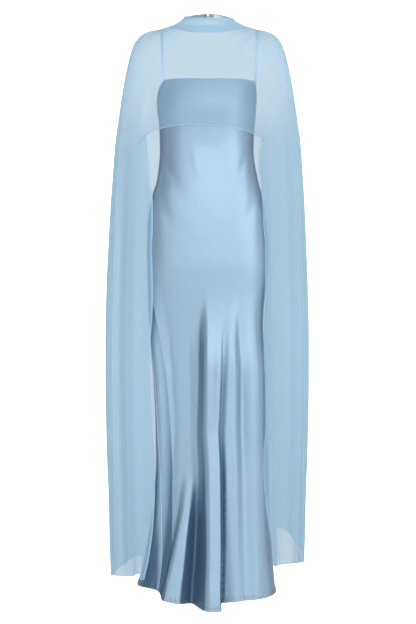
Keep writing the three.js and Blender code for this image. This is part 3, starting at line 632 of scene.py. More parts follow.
def cape_front_hem(hand, columns, rows):
    """Half of the yoke beside its hem: from the hem's curve to the side seam."""
    across, along = np.linspace(0, 1, columns)[None, :], np.linspace(0, 1, rows)[:, None]
    hem_ring = ring_at(curve(YOKE_HEM, "share", hand + "_z", along))
    hem_angle = angle_at_x(curve(YOKE_HEM, "share", hand, along), hem_ring)
    start, corner = ring_at(YOKE_HEM["left_z"][0]), ring_at(YOKE_HEM[hand + "_z"][-1])
    ring = blend(hem_ring, blend(start, corner + CORNER_DROP, along), across)
    return cape_point(blend(hem_angle, seam_angle(hand, ring), across), ring)


def cape_front_fall(hand, columns, rows):
    """One long fall: from its rolled inner edge to the side seam, from the yoke's corner to the hem."""
    side = -1 if hand == "left" else 1
    across, along = np.linspace(0, 1, columns)[None, :], np.linspace(0, 1, rows)[:, None]
    corner = ring_at(YOKE_HEM[hand + "_z"][-1]) + CORNER_DROP * across
    ring = blend(corner, ring_at(curve(FALL_HEM, "share", hand, across)), along)
    z = ring_value("side_z", ring)
    roll = ease((ROLL_START_Z - z) / (ROLL_START_Z - ROLL_FULL_Z))
    edge_x = curve(FALL_EDGE, "z", hand, z) - side * roll * (ROLL_LENGTH - ROLL_RADIUS)
    edge_angle = angle_at_x(edge_x, ring)
    angle = blend(blend(edge_angle[:, :1], edge_angle, ease(along * 8)), seam_angle(hand, ring), across)
    return fall_point(angle, ring, edge_angle, side, roll)


def cape_front_half(hand, columns):
    """The three stretches of a cape front half, one below the other. The fall starts on the row above it."""
    beside, fall = cape_front_hem(hand, columns, 24), cape_front_fall(hand, columns, 200)
    fall[0] = beside[-1]
    return [cape_front_yoke(hand, columns, 90), beside, fall]


def cape_back_half(hand, columns, rows):
    """Half of the cape back: from the side seam to the centre line or the side of the keyhole."""
    across, along = np.linspace(0, 1, columns)[None, :], np.linspace(0, 1, rows)[:, None]
    hem_ring = ring_at(curve(CAPE_BACK_HEM, "share", hand, across))
    ring = blend(COLLAR_BASE_RING, hem_ring, along)
    half = np.where(ring < KEYHOLE_END, curve(KEYHOLE, "ring", "half", np.minimum(ring, KEYHOLE_END)), 0)
    gap = np.degrees(half / ring_value("side", ring))
    if hand == "right":
        return cape_point(blend(seam_angle(hand, ring), 180 - gap, across), ring)
    return cape_point(blend(seam_angle(hand, ring) + 360, 180 + gap, across), ring)[:, ::-1]


def beside(point_at, angle, level, angle_step, level_step, out):
    """A point beside a surface's outer face: the point plus out times the normal there.

    The normal is the cross product of the differences of nearby points, across and up.
    """
    across = point_at(angle + angle_step, level) - point_at(angle - angle_step, level)
    up = point_at(angle, level + level_step) - point_at(angle, level - level_step)
    return point_at(angle, level) + out * unit(np.cross(across, up))


def near_cape(angle, ring, out):
    """A point beside the cape. Rings count downwards."""
    return beside(cape_point, angle, ring, 0.5, -0.02, out)


def near_slip(angle, z, out):
    """A point beside the slip."""
    return beside(slip_point, angle, z, 0.2, 1, out)


def puckered(grid, stitch_row, depth=0.5, pitch=11.0):
    """Small puckers round one row of a grid: two sines of the length along it, fading above and below."""
    along = np.linalg.norm(np.diff(grid[stitch_row], axis=0), axis=-1).cumsum()
    along = np.concatenate([[0], along])
    wave = np.sin(2 * math.pi * along / pitch) + 0.7 * np.sin(2 * math.pi * along / (pitch * 1.7) + 1.3)
    down = np.linalg.norm(np.diff(grid, axis=0), axis=-1).mean(axis=1).cumsum()
    down = np.concatenate([[0], down])
    fade = np.exp(-(((down - down[stitch_row]) / 9) ** 2))
    out = np.cross(np.gradient(grid, axis=1), -np.gradient(grid, axis=0))
    out /= np.maximum(np.linalg.norm(out, axis=-1, keepdims=True), 1e-9)
    return grid + depth * (fade[:, None] * wave[None, :])[..., None] * out


# Meshes from grids.


def grid_faces(rows, columns, first=0):
    """Faces of a grid with rows running down and columns to the right, seen from outside."""
    corner = first + (np.arange(rows - 1)[:, None] * columns + np.arange(columns - 1)[None, :]).ravel()
    return np.stack([corner, corner + columns, corner + columns + 1, corner + 1], axis=-1)


def flat_map(grid):
    """Lengths along the rows from their middle, and down the columns, in metres: the cloth laid out flat."""
    across = np.linalg.norm(np.diff(grid, axis=1), axis=-1).cumsum(axis=1)
    across = np.concatenate([0 * across[:, :1], across], axis=1)
    across -= across[:, across.shape[1] // 2, None]
    down = np.linalg.norm(np.diff(grid, axis=0), axis=-1).cumsum(axis=0)
    down = np.concatenate([0 * down[:1], down], axis=0)
    return np.stack([across, down], axis=-1) * METRES


def new_piece(name, points, faces, uv, material):
    """Makes a smooth mesh object from arrays in millimetres and lets it ride on the dress."""
    mesh = bpy.data.meshes.new(name)
    mesh.vertices.add(len(points))
    mesh.vertices.foreach_set("co", (points * METRES).ravel())
    mesh.loops.add(faces.size)
    mesh.loops.foreach_set("vertex_index", faces.ravel())
    mesh.polygons.add(len(faces))
    mesh.polygons.foreach_set("loop_start", np.arange(0, faces.size, faces.shape[1]))
    mesh.polygons.foreach_set("use_smooth", np.ones(len(faces), bool))
    mesh.update(calc_edges=True)
    mesh.validate()
    mesh.uv_layers.new(name="cloth").data.foreach_set("uv", uv[faces.ravel()].ravel())
    mesh.materials.append(material)
    piece = bpy.data.objects.new(name, mesh)
    bpy.context.scene.collection.objects.link(piece)
    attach(piece, "root")
    return piece


def painted_fold_shade(grid, reach=80.0, steps=24):
    """Painted shade for the satin's colour, from 0 to 1: how far down in a fold each point lies, by the
    horizon along its row.

    Looking from a point to others within reach, the rise is what lies square to the broad shape. The horizon
    is the largest of rise over distance, weighed by the rise. The shade is the higher side's horizon plus a
    third of the lower side's, times the fold's height nearby. The slip's sides, which the cape covers, get
    painted shade too, the more their normals turn sideways.
    """
    across = np.linalg.norm(np.diff(grid[::8], axis=1), axis=-1).mean()
    ends = np.roll(grid, -steps, axis=1) - np.roll(grid, steps, axis=1)
    broad = np.stack([-ends[..., 1], ends[..., 0], 0 * ends[..., 2]], axis=-1)
    broad *= np.sign((broad * grid).sum(axis=-1, keepdims=True))
    broad /= np.maximum(np.linalg.norm(broad, axis=-1, keepdims=True), 1e-6)
    sides = []
    top, bottom = np.zeros(grid.shape[:2]), np.zeros(grid.shape[:2])
    for direction in (1, -1):
        highest = np.zeros(grid.shape[:2])
        for step in range(1, max(2, int(reach / across))):
            moved = np.roll(grid, -direction * step, axis=1) - grid
            length = np.maximum(np.linalg.norm(moved, axis=-1), 1e-6)
            rise = (moved * broad).sum(axis=-1)
            seen = rise / length * np.clip(rise / SHADE_RISE, 0, 1) * ease((reach - length) / (reach * 0.6))
            highest = np.maximum(highest, np.where(length < reach, seen, 0))
            top = np.maximum(top, np.where(length < SHADE_NEAR, rise, 0))
            bottom = np.minimum(bottom, np.where(length < SHADE_NEAR, rise, 0))
        sides.append(highest)
    tall = np.clip(0.08 + (top - bottom) / SHADE_HEIGHT, 0, 1)
    # Painted shade on the slip's sides, stronger the more the broad normal turns sideways.
    painted_side_shade = SIDE_SHADE * ease((np.abs(broad[..., 0]) - 0.6) / 0.4)
    return np.clip((np.maximum(*sides) + np.minimum(*sides) / 3) * tall + painted_side_shade, 0, 1)


def piece_from_grids(name, grids, material, joined=True):
    """Joins grids into one piece. Points that lie on each other are merged, unless it isn't to be joined."""
    points, faces, uv, count = [], [], [], 0
    for grid in grids:
        rows, columns = grid.shape[:2]
        points.append(grid.reshape(-1, 3))
        uv.append(flat_map(grid).reshape(-1, 2))
        faces.append(grid_faces(rows, columns, count))
        count += rows * columns
    points, faces, uv = np.concatenate(points), np.concatenate(faces), np.concatenate(uv)
    piece = new_piece(name, points, faces, uv, material)
    if joined:
        weld(piece)
    return piece


def weld(piece):
    """Merges the points of neighbouring grids that lie on each other."""
    mesh = bmesh.new()
    mesh.from_mesh(piece.data)
    bmesh.ops.remove_doubles(mesh, verts=mesh.verts, dist=0.00005)
    mesh.to_mesh(piece.data)
    mesh.free()


def turned_edge(grid, radius, back, rows=5):
    """Adds a turned-in edge above a grid's first row: half a circle inwards, then a flat stretch back down.

    With t from 0 to pi, a point moves radius * sin(t) off the edge and radius * (1 - cos(t)) inwards.
    """
    edge = grid[0]
    off = grid[0] - grid[1]
    off = unit(off)
    along = np.gradient(edge, axis=0)
    inward = np.cross(along, off)
    inward = unit(inward)
    t = np.linspace(0, math.pi, rows)[1:, None, None]
    bend = edge + radius * (np.sin(t) * off + (1 - np.cos(t)) * inward)
    flat = bend[-1] - np.linspace(0, back, 3)[1:, None, None] * off
    return np.concatenate([flat[::-1], bend[::-1], grid])


def turned_ends(grid, radius, top_back, hem_back):
    """Turns a grid's first and last rows in."""
    if top_back:
        grid = turned_edge(grid, radius, top_back)
    if hem_back:
        grid = turned_edge(grid[::-1, ::-1], radius, hem_back)[::-1, ::-1]
    return grid


def tube(path, radius, sides=8):
    """A round tube along a path: at each point a circle in the plane square to the path."""
    along = np.gradient(path, axis=0)
    along = unit(along)
    guide = np.array([0.31, 0.17, 0.93])
    first = np.cross(along, guide)
    first = unit(first)
    second = np.cross(along, first)
    turn = np.linspace(0, 2 * math.pi, sides + 1)[None, :, None]
    return path[:, None] + radius * (np.cos(turn) * first[:, None] + np.sin(turn) * second[:, None])


def stitches(path, length=2.4, gap=1.0, radius=0.28):
    """A row of stitches along a path: a short thin tube for every stitch, with gaps between them."""
    far = np.concatenate([[0], np.linalg.norm(np.diff(path, axis=0), axis=-1).cumsum()])
    made = []
    for start in np.arange(0, far[-1] - length, length + gap):
        at = start + np.linspace(0, length, 4)
        line = np.stack([np.interp(at, far, path[:, i]) for i in range(3)], axis=-1)
        made.append(tube(line, radius, 5))
    return made


def catmull(points, count):
    """A smooth curve through points: Catmull-Rom pieces with evenly spread parameters."""
    p = np.array(points, float)
    p = np.concatenate([[2 * p[0] - p[1]], p, [2 * p[-1] - p[-2]]])
    at = np.linspace(0, len(points) - 1, count)
    i = np.minimum(at.astype(int), len(points) - 2)
    t = (at - i)[:, None]
    a, b, c, d = p[i], p[i + 1], p[i + 2], p[i + 3]
    return 0.5 * (2 * b + (c - a) * t + (2 * a - 5 * b + 4 * c - d) * t**2 + (3 * b - a - 3 * c + d) * t**3)


# Materials.


def node(tree, kind, place=(0, 0), **inputs):
    """Adds a shader node and sets its inputs by name or number."""
    made = tree.nodes.new(kind)
    made.location = place
    for name, value in inputs.items():
        key = int(name[1:]) if name[0] == "_" and name[1:].isdigit() else name.replace("_", " ")
        made.inputs[key].default_value = value
    return made


def slub_group():
    """Streaks of thicker yarn: noise stretched along a turned direction. Gives their height from 0 to 1."""
    name = "Slub streaks"
    if name in bpy.data.node_groups:
        return bpy.data.node_groups[name]
    tree = bpy.data.node_groups.new(name, "ShaderNodeTree")
    tree.interface.new_socket("Vector", in_out="INPUT", socket_type="NodeSocketVector")
    across = tree.interface.new_socket("Streaks per metre", in_out="INPUT", socket_type="NodeSocketFloat")
    across.default_value = 900
    stretch = tree.interface.new_socket("Stretch", in_out="INPUT", socket_type="NodeSocketFloat")
    stretch.default_value = 0.08
    turn = tree.interface.new_socket("Turn", in_out="INPUT", socket_type="NodeSocketFloat")
    turn.default_value = 0.8
    tree.interface.new_socket("Height", in_out="OUTPUT", socket_type="NodeSocketFloat")
    start, end = tree.nodes.new("NodeGroupInput"), tree.nodes.new("NodeGroupOutput")
    turned = node(tree, "ShaderNodeVectorRotate", (-600, 0))
    turned.rotation_type = "Z_AXIS"
    size = node(tree, "ShaderNodeCombineXYZ", (-600, -200))
    length = node(tree, "ShaderNodeMath", (-800, -300))
    length.operation = "MULTIPLY"
    scaled = node(tree, "ShaderNodeVectorMath", (-400, 0))
    scaled.operation = "MULTIPLY"
    noise = node(tree, "ShaderNodeTexNoise", (-200, 0), Scale=1.0, Detail=2.0, Roughness=0.6)
    noise.noise_dimensions = "2D"
    links = tree.links
    links.new(start.outputs["Vector"], turned.inputs["Vector"])
    links.new(start.outputs["Turn"], turned.inputs["Angle"])
    links.new(start.outputs["Streaks per metre"], size.inputs["X"])
    links.new(start.outputs["Streaks per metre"], length.inputs[0])
    links.new(start.outputs["Stretch"], length.inputs[1])
    links.new(length.outputs[0], size.inputs["Y"])
    links.new(turned.outputs["Vector"], scaled.inputs[0])
    links.new(size.outputs[0], scaled.inputs[1])
    links.new(scaled.outputs[0], noise.inputs["Vector"])
    links.new(noise.outputs["Fac"], end.inputs["Height"])
    return tree


def cloth_vector(tree):
    """The cloth's flat map, in metres."""
    made = tree.nodes.new("ShaderNodeUVMap")
    made.uv_map = "cloth"
    made.location = (-1200, 0)
    return made.outputs["UV"]


def slubs(tree, vector, streaks, stretch, turn, place):
    """Places the slub group with its own values."""
    made = tree.nodes.new("ShaderNodeGroup")
    made.node_tree = slub_group()
    made.location = place
    made.inputs["Streaks per metre"].default_value = streaks
    made.inputs["Stretch"].default_value = stretch
    made.inputs["Turn"].default_value = turn
    tree.links.new(vector, made.inputs["Vector"])
    return made.outputs["Height"]


def two_colours(tree, mask, low, high, place):
    """Goes from one colour to another with a mask."""
    made = tree.nodes.new("ShaderNodeMix")
    made.data_type = "RGBA"
    made.location = place
    made.inputs[6].default_value = (*low, 1)
    made.inputs[7].default_value = (*high, 1)
    tree.links.new(mask, made.inputs[0])
    return made.outputs[2]


def ranged(tree, value, low, high, place):
    """Maps a value from 0.3..0.7 to a range."""
    made = node(tree, "ShaderNodeMapRange", place, _1=0.3, _2=0.7, _3=low, _4=high)
    tree.links.new(value, made.inputs[0])
    return made.outputs[0]


def satin_material(settings, name="Blue satin", painted_light_gain=1.0):
    """Light blue silk satin: a soft broad sheen, fine diagonal slubs and a hair-fine grain along the warp.
    Painted shade from the points' fold attribute darkens its colour in the folds and on the sides, and a gain
    above 1 makes a copy painted lighter.
    """
    material = bpy.data.materials.new(name)
    material.use_nodes = True
    tree = material.node_tree
    shader = tree.nodes["Principled BSDF"]
    shader.inputs["Metallic"].default_value = 0.5
    shader.inputs["Specular IOR Level"].default_value = 0.5
    shader.inputs["Sheen Weight"].default_value = 0.05
    shader.inputs["Sheen Roughness"].default_value = 0.4
    shader.inputs["Sheen Tint"].default_value = (0.8, 0.9, 1, 1)
    vector = cloth_vector(tree)
    broad = slubs(tree, vector, 420, 0.12, settings.slub_angle, (-900, 200))
    fine = slubs(tree, vector, 1500, 0.12, settings.slub_angle, (-900, -100))
    mask = ranged(tree, broad, 0, 1, (-650, 200))
    # Above 1 the gain paints the satin lighter, for the straps that lie in the chiffon's shade.
    dark = tuple(c * painted_light_gain * 0.97 for c in settings.satin_colour)
    light = tuple(min(1, c * painted_light_gain * 1.03) for c in settings.satin_colour)
    plain = two_colours(tree, mask, dark, light, (-400, 200))
    # Painted shade: the points' fold attribute darkens the colour towards the shade colour below, in the
    # folds and on the sides.
    depth = tree.nodes.new("ShaderNodeAttribute")
    depth.attribute_name = "painted_fold_shade"
    depth.location = (-400, 400)
    painted_shade_strength = node(tree, "ShaderNodeMapRange", (-200, 400), _1=0.13, _2=0.55, _3=0.0, _4=1.0)
    tree.links.new(depth.outputs["Fac"], painted_shade_strength.inputs[0])
    painted_shade_mix = tree.nodes.new("ShaderNodeMix")
    painted_shade_mix.data_type = "RGBA"
    painted_shade_mix.blend_type = "MULTIPLY"
    painted_shade_mix.location = (-100, 250)
    painted_shade_mix.inputs[7].default_value = (0.28, 0.37, 0.45, 1)
    tree.links.new(painted_shade_strength.outputs[0], painted_shade_mix.inputs[0])
    tree.links.new(plain, painted_shade_mix.inputs[6])
    tree.links.new(painted_shade_mix.outputs[2], shader.inputs["Base Color"])
    tree.links.new(ranged(tree, fine, 0.42, 0.52, (-400, 0)), shader.inputs["Roughness"])
    crumple = node(tree, "ShaderNodeTexNoise", (-900, -400), Scale=22.0, Detail=2.0, Roughness=0.5)
    tree.links.new(vector, crumple.inputs["Vector"])
    soft = node(tree, "ShaderNodeBump", (-600, -300), Strength=0.3, Distance=0.004)
    tree.links.new(crumple.outputs["Fac"], soft.inputs["Height"])
    coarse = node(tree, "ShaderNodeBump", (-400, -200), Strength=0.2, Distance=0.0005)
    tree.links.new(soft.outputs[0], coarse.inputs["Normal"])
    tree.links.new(broad, coarse.inputs["Height"])
    bump = node(tree, "ShaderNodeBump", (-200, -200), Strength=0.25, Distance=0.0002)
    tree.links.new(fine, bump.inputs["Height"])
    tree.links.new(coarse.outputs[0], bump.inputs["Normal"])
    tree.links.new(bump.outputs[0], shader.inputs["Normal"])
    return material


def chiffon_material(settings, name="Blue chiffon", openness=None, colour=None, thin_above=-0.34):
    """Sheer chiffon: part of the surface lets sight straight through, less where it is seen edge on.

    Above thin_above it is one layer and lets more through. The rest is matt cloth that also shows the light
    behind it. Light and shadows pass it more easily than sight does.
    """
    openness = settings.chiffon_openness if openness is None else openness
    material = bpy.data.materials.new(name)
    material.use_nodes = True
    tree = material.node_tree
    tree.nodes.remove(tree.nodes["Principled BSDF"])
    output = tree.nodes["Material Output"]
    vector = cloth_vector(tree)
    grain = slubs(tree, vector, 700, 0.1, 0.0, (-900, 200))
    mask = ranged(tree, grain, 0, 1, (-650, 200))
    colour = colour or settings.chiffon_colour
    shade = two_colours(tree, mask, tuple(c * 0.97 for c in colour), colour, (-400, 200))
    cloth = node(tree, "ShaderNodeBsdfDiffuse", (-100, 200), Roughness=1.0)
    tree.links.new(shade, cloth.inputs["Color"])
    lit = node(tree, "ShaderNodeBsdfTranslucent", (-100, 50))
    tree.links.new(shade, lit.inputs["Color"])
    both = node(tree, "ShaderNodeMixShader", (100, 150), _0=0.4)
    tree.links.new(cloth.outputs[0], both.inputs[1])
    tree.links.new(lit.outputs[0], both.inputs[2])
    clear = node(tree, "ShaderNodeBsdfTransparent", (100, -50))
    clear.inputs["Color"].default_value = (1, 1, 1, 1)
    facing = node(tree, "ShaderNodeLayerWeight", (-400, -150), Blend=0.35)
    solid = node(tree, "ShaderNodeMapRange", (-150, -150), _1=0.0, _2=1.0, _4=1.0)
    place = tree.nodes.new("ShaderNodeTexCoord")
    height = tree.nodes.new("ShaderNodeSeparateXYZ")
    doubled, single = 1 - openness * 0.6, 1 - openness
    thin = node(
        tree, "ShaderNodeMapRange", (-400, -400), _1=thin_above, _2=thin_above + 0.07, _3=doubled, _4=single
    )
    tree.links.new(place.outputs["Object"], height.inputs[0])
    tree.links.new(height.outputs["Z"], thin.inputs[0])
    tree.links.new(thin.outputs[0], solid.inputs[3])
    tree.links.new(facing.outputs["Facing"], solid.inputs[0])
    path = tree.nodes.new("ShaderNodeLightPath")
    shadow = node(tree, "ShaderNodeMapRange", (-150, -600), _3=0.3, _4=1.0)
    tree.links.new(path.outputs["Is Camera Ray"], shadow.inputs[0])
    amount = tree.nodes.new("ShaderNodeMath")
    amount.operation = "MULTIPLY"
    tree.links.new(solid.outputs[0], amount.inputs[0])
    tree.links.new(shadow.outputs[0], amount.inputs[1])
    mix = node(tree, "ShaderNodeMixShader", (300, 100))
    tree.links.new(amount.outputs[0], mix.inputs[0])
    tree.links.new(clear.outputs[0], mix.inputs[1])
    tree.links.new(both.outputs[0], mix.inputs[2])
    tree.links.new(mix.outputs[0], output.inputs["Surface"])
    return material


def tape_material(name, colour):
    """Woven tape: matt, with a fine rib across it."""
    material = bpy.data.materials.new(name)
    material.use_nodes = True
    tree = material.node_tree
    shader = tree.nodes["Principled BSDF"]
    shader.inputs["Roughness"].default_value = 0.75
    vector = cloth_vector(tree)
    rib = slubs(tree, vector, 1800, 0.02, 1.5708, (-900, 0))
    striped = two_colours(tree, rib, tuple(c * 0.9 for c in colour), colour, (-400, 100))
    tree.links.new(striped, shader.inputs["Base Color"])
    bump = node(tree, "ShaderNodeBump", (-200, -200), Strength=0.3, Distance=0.0002)
    tree.links.new(rib, bump.inputs["Height"])
    tree.links.new(bump.outputs[0], shader.inputs["Normal"])
    return material


def pearl_material(colour):
    """A pearly button: a pale gloss with slow clouds of colour."""
    material = bpy.data.materials.new("Pearl button")
    material.use_nodes = True
    tree = material.node_tree
    shader = tree.nodes["Principled BSDF"]
    shader.inputs["Roughness"].default_value = 0.22
    shader.inputs["Coat Weight"].default_value = 0.4
    place = tree.nodes.new("ShaderNodeTexCoord")
    place.location = (-900, 0)
    cloud = node(tree, "ShaderNodeTexNoise", (-700, 0), Scale=300.0, Detail=2.0)
    tree.links.new(place.outputs["Object"], cloud.inputs["Vector"])
    pale = tuple(min(1, c * 1.25) for c in colour)
    clouded = two_colours(tree, cloud.outputs["Fac"], colour, pale, (-400, 0))
    tree.links.new(clouded, shader.inputs["Base Color"])
    return material


def material_for(key, settings):
    """Each finish is made once and kept by name."""
    names = {
        "satin": "Blue satin",
        "strap": "Strap satin",
        "chiffon": "Blue chiffon",
        "back": "Back chiffon",
        "collar": "Collar chiffon",
        "facing": "Collar facing",
        "painted_shade_turn": "Turned chiffon",
        "hem": "Chiffon hem",
        "tape": "White tape",
        "tab": "Beige tape",
        "pearl": "Pearl button",
    }
    if names[key] in bpy.data.materials:
        return bpy.data.materials[names[key]]
    if key == "satin":
        return satin_material(settings)
    if key == "chiffon":
        return chiffon_material(settings)
    # The strap satin is the same satin painted half again as light, as the straps lie in the chiffon's shade;
    # the seams, stitches and loop use it too.
    if key == "strap":
        return satin_material(settings, names[key], 1.5)
    if key == "hem":
        return chiffon_material(settings, names[key], 0.3, (0.55, 0.75, 0.92))
    if key == "back":
        return chiffon_material(settings, names[key], thin_above=-0.26)
    if key == "collar":
        return chiffon_material(settings, names[key], 0.42, thin_above=-0.1)
    # The turned chiffon is the chiffon painted darker, for the shade inside the collar's back; it is also
    # denser, as a doubled layer.
    if key == "painted_shade_turn":
        return chiffon_material(settings, names[key], 0.15, (0.2, 0.34, 0.48), -0.1)
    if key == "facing":
        return chiffon_material(settings, names[key], 0.4, (0.34, 0.62, 0.88))
    if key == "tape":
        return tape_material("White tape", tuple(settings.tape_colour))
    if key == "tab":
        return tape_material("Beige tape", (0.5, 0.36, 0.27))
    return pearl_material(tuple(settings.satin_colour))


# Settings, operators and the panel.


class CapeDressSettings(bpy.types.PropertyGroup):
    """Sizes and colours that a user may change before the pieces are made."""

    satin_colour: bpy.props.FloatVectorProperty(
        name="Satin",
        description="Colour of the slip",
        subtype="COLOR",
        size=3,
        min=0,
        max=1,
        default=(0.34, 0.49, 0.635),
    )
    chiffon_colour: bpy.props.FloatVectorProperty(
        name="Chiffon",
        description="Colour of the cape",
        subtype="COLOR",
        size=3,
        min=0,
        max=1,
        default=(0.42, 0.64, 0.78),
    )
    tape_colour: bpy.props.FloatVectorProperty(
        name="Tape",
        description="Colour of the label",
        subtype="COLOR",
        size=3,
        min=0,
        max=1,
        default=(0.78, 0.79, 0.8),
    )
    chiffon_openness: bpy.props.FloatProperty(
        name="Openness",
        description="Share of light that goes straight through the chiffon",
        subtype="FACTOR",
        min=0,
        max=1,
        default=0.6,
    )
    slub_angle: bpy.props.FloatProperty(
        name="Slub angle",
        description="Turn of the satin's slubs from the vertical",
        subtype="ANGLE",
        default=-0.65,
    )
    key_power: bpy.props.FloatProperty(
        name="Key light", description="Power of the large light in front", unit="POWER", min=0, default=140
    )
    world_strength: bpy.props.FloatProperty(
        name="Surroundings", description="Brightness of the white studio all round", min=0, default=0.15
    )


class MakePiece(bpy.types.Operator):
    """Shared by the operators that make a piece."""

    bl_idname = "cape_dress.piece"
    bl_label = "Piece"
    bl_options = {"REGISTER", "UNDO"}

    def execute(self, context):
        """Makes the pieces with the scene's settings."""
        self.make(context.scene.cape_dress)
        return {"FINISHED"}


class CAPE_DRESS_OT_slip(MakePiece):
    """Makes the slip's front and back, with their turned top edges and hems"""

    bl_idname = "cape_dress.slip"
    bl_label = "Slip"

    def make(self, settings):
        """Two panels between the side seams."""
        left = lambda z: curve(SLIP_SEAMS, "z", "left", z)
        right = lambda z: curve(SLIP_SEAMS, "z", "right", z)
        satin = material_for("satin", settings)
        front = slip_panel(left, right, 230, 260)
        back = slip_panel(right, lambda z: left(z) + 360, 210, 220)
        for name, grid, flat, area in (
            ("slip_front", front, (0.5, 1.42), 0.56),
            ("slip_back", back, (0.56, 1.36), 0.6),
        ):
            grid = turned_ends(puckered(puckered(grid, -2), 2, 0.25), 0.7, 9, 7)
            piece = piece_from_grids(name + "_cloth", [grid], satin, joined=False)
            # Painted shade in the folds and on the sides, kept on the points for the satin's colour.
            shade = painted_fold_shade(grid).ravel()
            piece.data.attributes.new("painted_fold_shade", "FLOAT", "POINT").data.foreach_set("value", shade)
            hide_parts(name)


class CAPE_DRESS_OT_straps(MakePiece):
    """Makes the two spaghetti straps as narrow sewn tubes"""

    bl_idname = "cape_dress.straps"
    bl_label = "Straps"

    def make(self, settings):
        """A flattened tube along each strap's path: an oval with the strap's width and 1.6 mm thick."""
        turn = np.linspace(0, 2 * math.pi, 17)[None, :, None]
        for name, points in STRAP_PATHS.items():
            path = catmull(points, 160)
            along = np.gradient(path, axis=0)
            along = unit(along)
            out = np.cross([1.0, 0, 0], along)
            out = unit(out)
            middle = path - STRAP_RISE * out
            wide = np.array([STRAP_WIDTH / 2, 0, 0])
            oval = middle[:, None] + np.cos(turn) * wide + STRAP_RISE * np.sin(turn) * out[:, None]
            satin = material_for("strap", settings)
            piece = piece_from_grids(name + "_cloth", [oval], satin, joined=False)
            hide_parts(name)


class CAPE_DRESS_OT_cape(MakePiece):
    """Makes the cape's front with its two falls, and its back"""

    bl_idname = "cape_dress.cape"
    bl_label = "Cape"

    def make(self, settings):
        """Each panel is joined from its two halves."""
        chiffon = material_for("chiffon", settings)
        grids = []
        for hand in ("left", "right"):
            for grid in cape_front_half(hand, 90):
                grids.append(grid[:, ::-1] if hand == "left" else grid)
        front = piece_from_grids("cape_front_cloth", grids, chiffon)
        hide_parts("cape_front")
        grids = [cape_back_half(hand, 110, 260) for hand in ("right", "left")]
        back = piece_from_grids("cape_back_cloth", grids, material_for("back", settings))
        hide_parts("cape_back")


class CAPE_DRESS_OT_collar(MakePiece):
    """Makes the funnel collar with its turned top edge and inner layer"""

    bl_idname = "cape_dress.collar"
    bl_label = "Collar"

    def make(self, settings):
        """One band all round, from one side of the centre back opening to the other."""
        rows, columns = 30, 260
        ring = np.linspace(0, COLLAR_BASE_RING, rows)[:, None]
        gap = np.degrees(curve(KEYHOLE, "ring", "half", ring) / ring_value("side", ring))
        angle = blend(-180 + gap, 180 - gap, np.linspace(0, 1, columns)[None, :])
        grid = turned_edge(cape_point(angle, ring), 0.8, 4)
        band = piece_from_grids("collar_cloth", [grid], material_for("collar", settings))
        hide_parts("collar")
        angle = np.linspace(-FACING_END_ANGLE, FACING_END_ANGLE, 160)[None, :]
        top = 1.0 + 0.8 * (angle / FACING_END_ANGLE) ** 2
        ring = blend(top, 2.05, np.linspace(0, 1, 12)[:, None])
        facing = near_cape(angle + 0 * ring, ring, FACING_DEPTH)
        piece = piece_from_grids("collar_facing", [facing], material_for("facing", settings))
        # The back's turned hems take the darker turned chiffon: painted shade inside the collar's back.
        for name, key, start, end, depth in (
            ("collar_hem_front", "facing", -96, 96, 0.14),
            ("collar_hem_back_right", "painted_shade_turn", 97, 177.5, 0.46),
            ("collar_hem_back_left", "painted_shade_turn", -177.5, -97, 0.46),
        ):
            angle = np.linspace(start, end, 120)[None, :]
            ring = np.linspace(0.01, depth, 10)[:, None]
            turned = near_cape(angle + 0 * ring, ring + 0 * angle, TURNED_HEM_DEPTH)
            piece_from_grids(name, [turned], material_for(key, settings))


class CAPE_DRESS_OT_hems(MakePiece):
    """Makes the narrow rolled hems of the cape"""

    bl_idname = "cape_dress.hems"
    bl_label = "Rolled hems"

    def make(self, settings):
        """A thin tube along every free edge of the cape."""
        hem = material_for("hem", settings)
        for hand in ("left", "right"):
            yoke, beside, fall = cape_front_half(hand, 90)
            path = np.concatenate([beside[:, 0], fall[1:, 0], fall[-1, 1:]])
            piece_from_grids("cape_front_hem_" + hand, [tube(path, HEM_RADIUS)], hem)
            back = cape_back_half(hand, 110, 260)
            piece_from_grids("cape_back_hem_" + hand, [tube(back[-1], HEM_RADIUS)], hem)


class CAPE_DRESS_OT_sewing(MakePiece):
    """Makes the slip's seams and stitches and the cape's seams"""

    bl_idname = "cape_dress.sewing"
    bl_label = "Seams and stitches"

    def make(self, settings):
        """Thin welts lie along the seams, and rows of short stitches along the turned edges."""
        satin, hem = material_for("strap", settings), material_for("hem", settings)
        z = np.linspace(-640, -1490, 200)
        for hand, wide in (("left", 0.8), ("right", 0.55)):
            angle = curve(SLIP_SEAMS, "z", hand, z)
            welt = tube(near_slip(angle, z, 0.1), wide, 6)
            piece_from_grids("slip_seam_" + hand, [welt], satin)
            ring = np.linspace(COLLAR_BASE_RING + 0.1, ring_at(YOKE_HEM[hand + "_z"][-1]) + 11, 300)
            ring = ring[cape_point(seam_angle(hand, ring), ring)[:, 2] > -1415]
            line = near_cape(seam_angle(hand, ring), ring, 0)
            piece_from_grids("cape_seam_" + hand, [tube(line, 0.8, 6)], hem)
        angle = np.linspace(-175, 175, 360)
        neck = near_cape(angle, np.full(360, COLLAR_BASE_RING), 0)
        piece_from_grids("neck_seam", [tube(neck, 0.6, 6)], hem)
        angle = np.linspace(-88, 268, 900)
        low = curve(SLIP_HEM, "angle", "z", wrapped(angle)) + 7
        piece_from_grids("hem_stitches", stitches(near_slip(angle, low, 0.35)), satin, joined=False)
        top = curve(SLIP_TOP, "angle", "z", wrapped(angle)) - 8
        piece_from_grids("top_stitches", stitches(near_slip(angle, top, 0.35)), satin, joined=False)


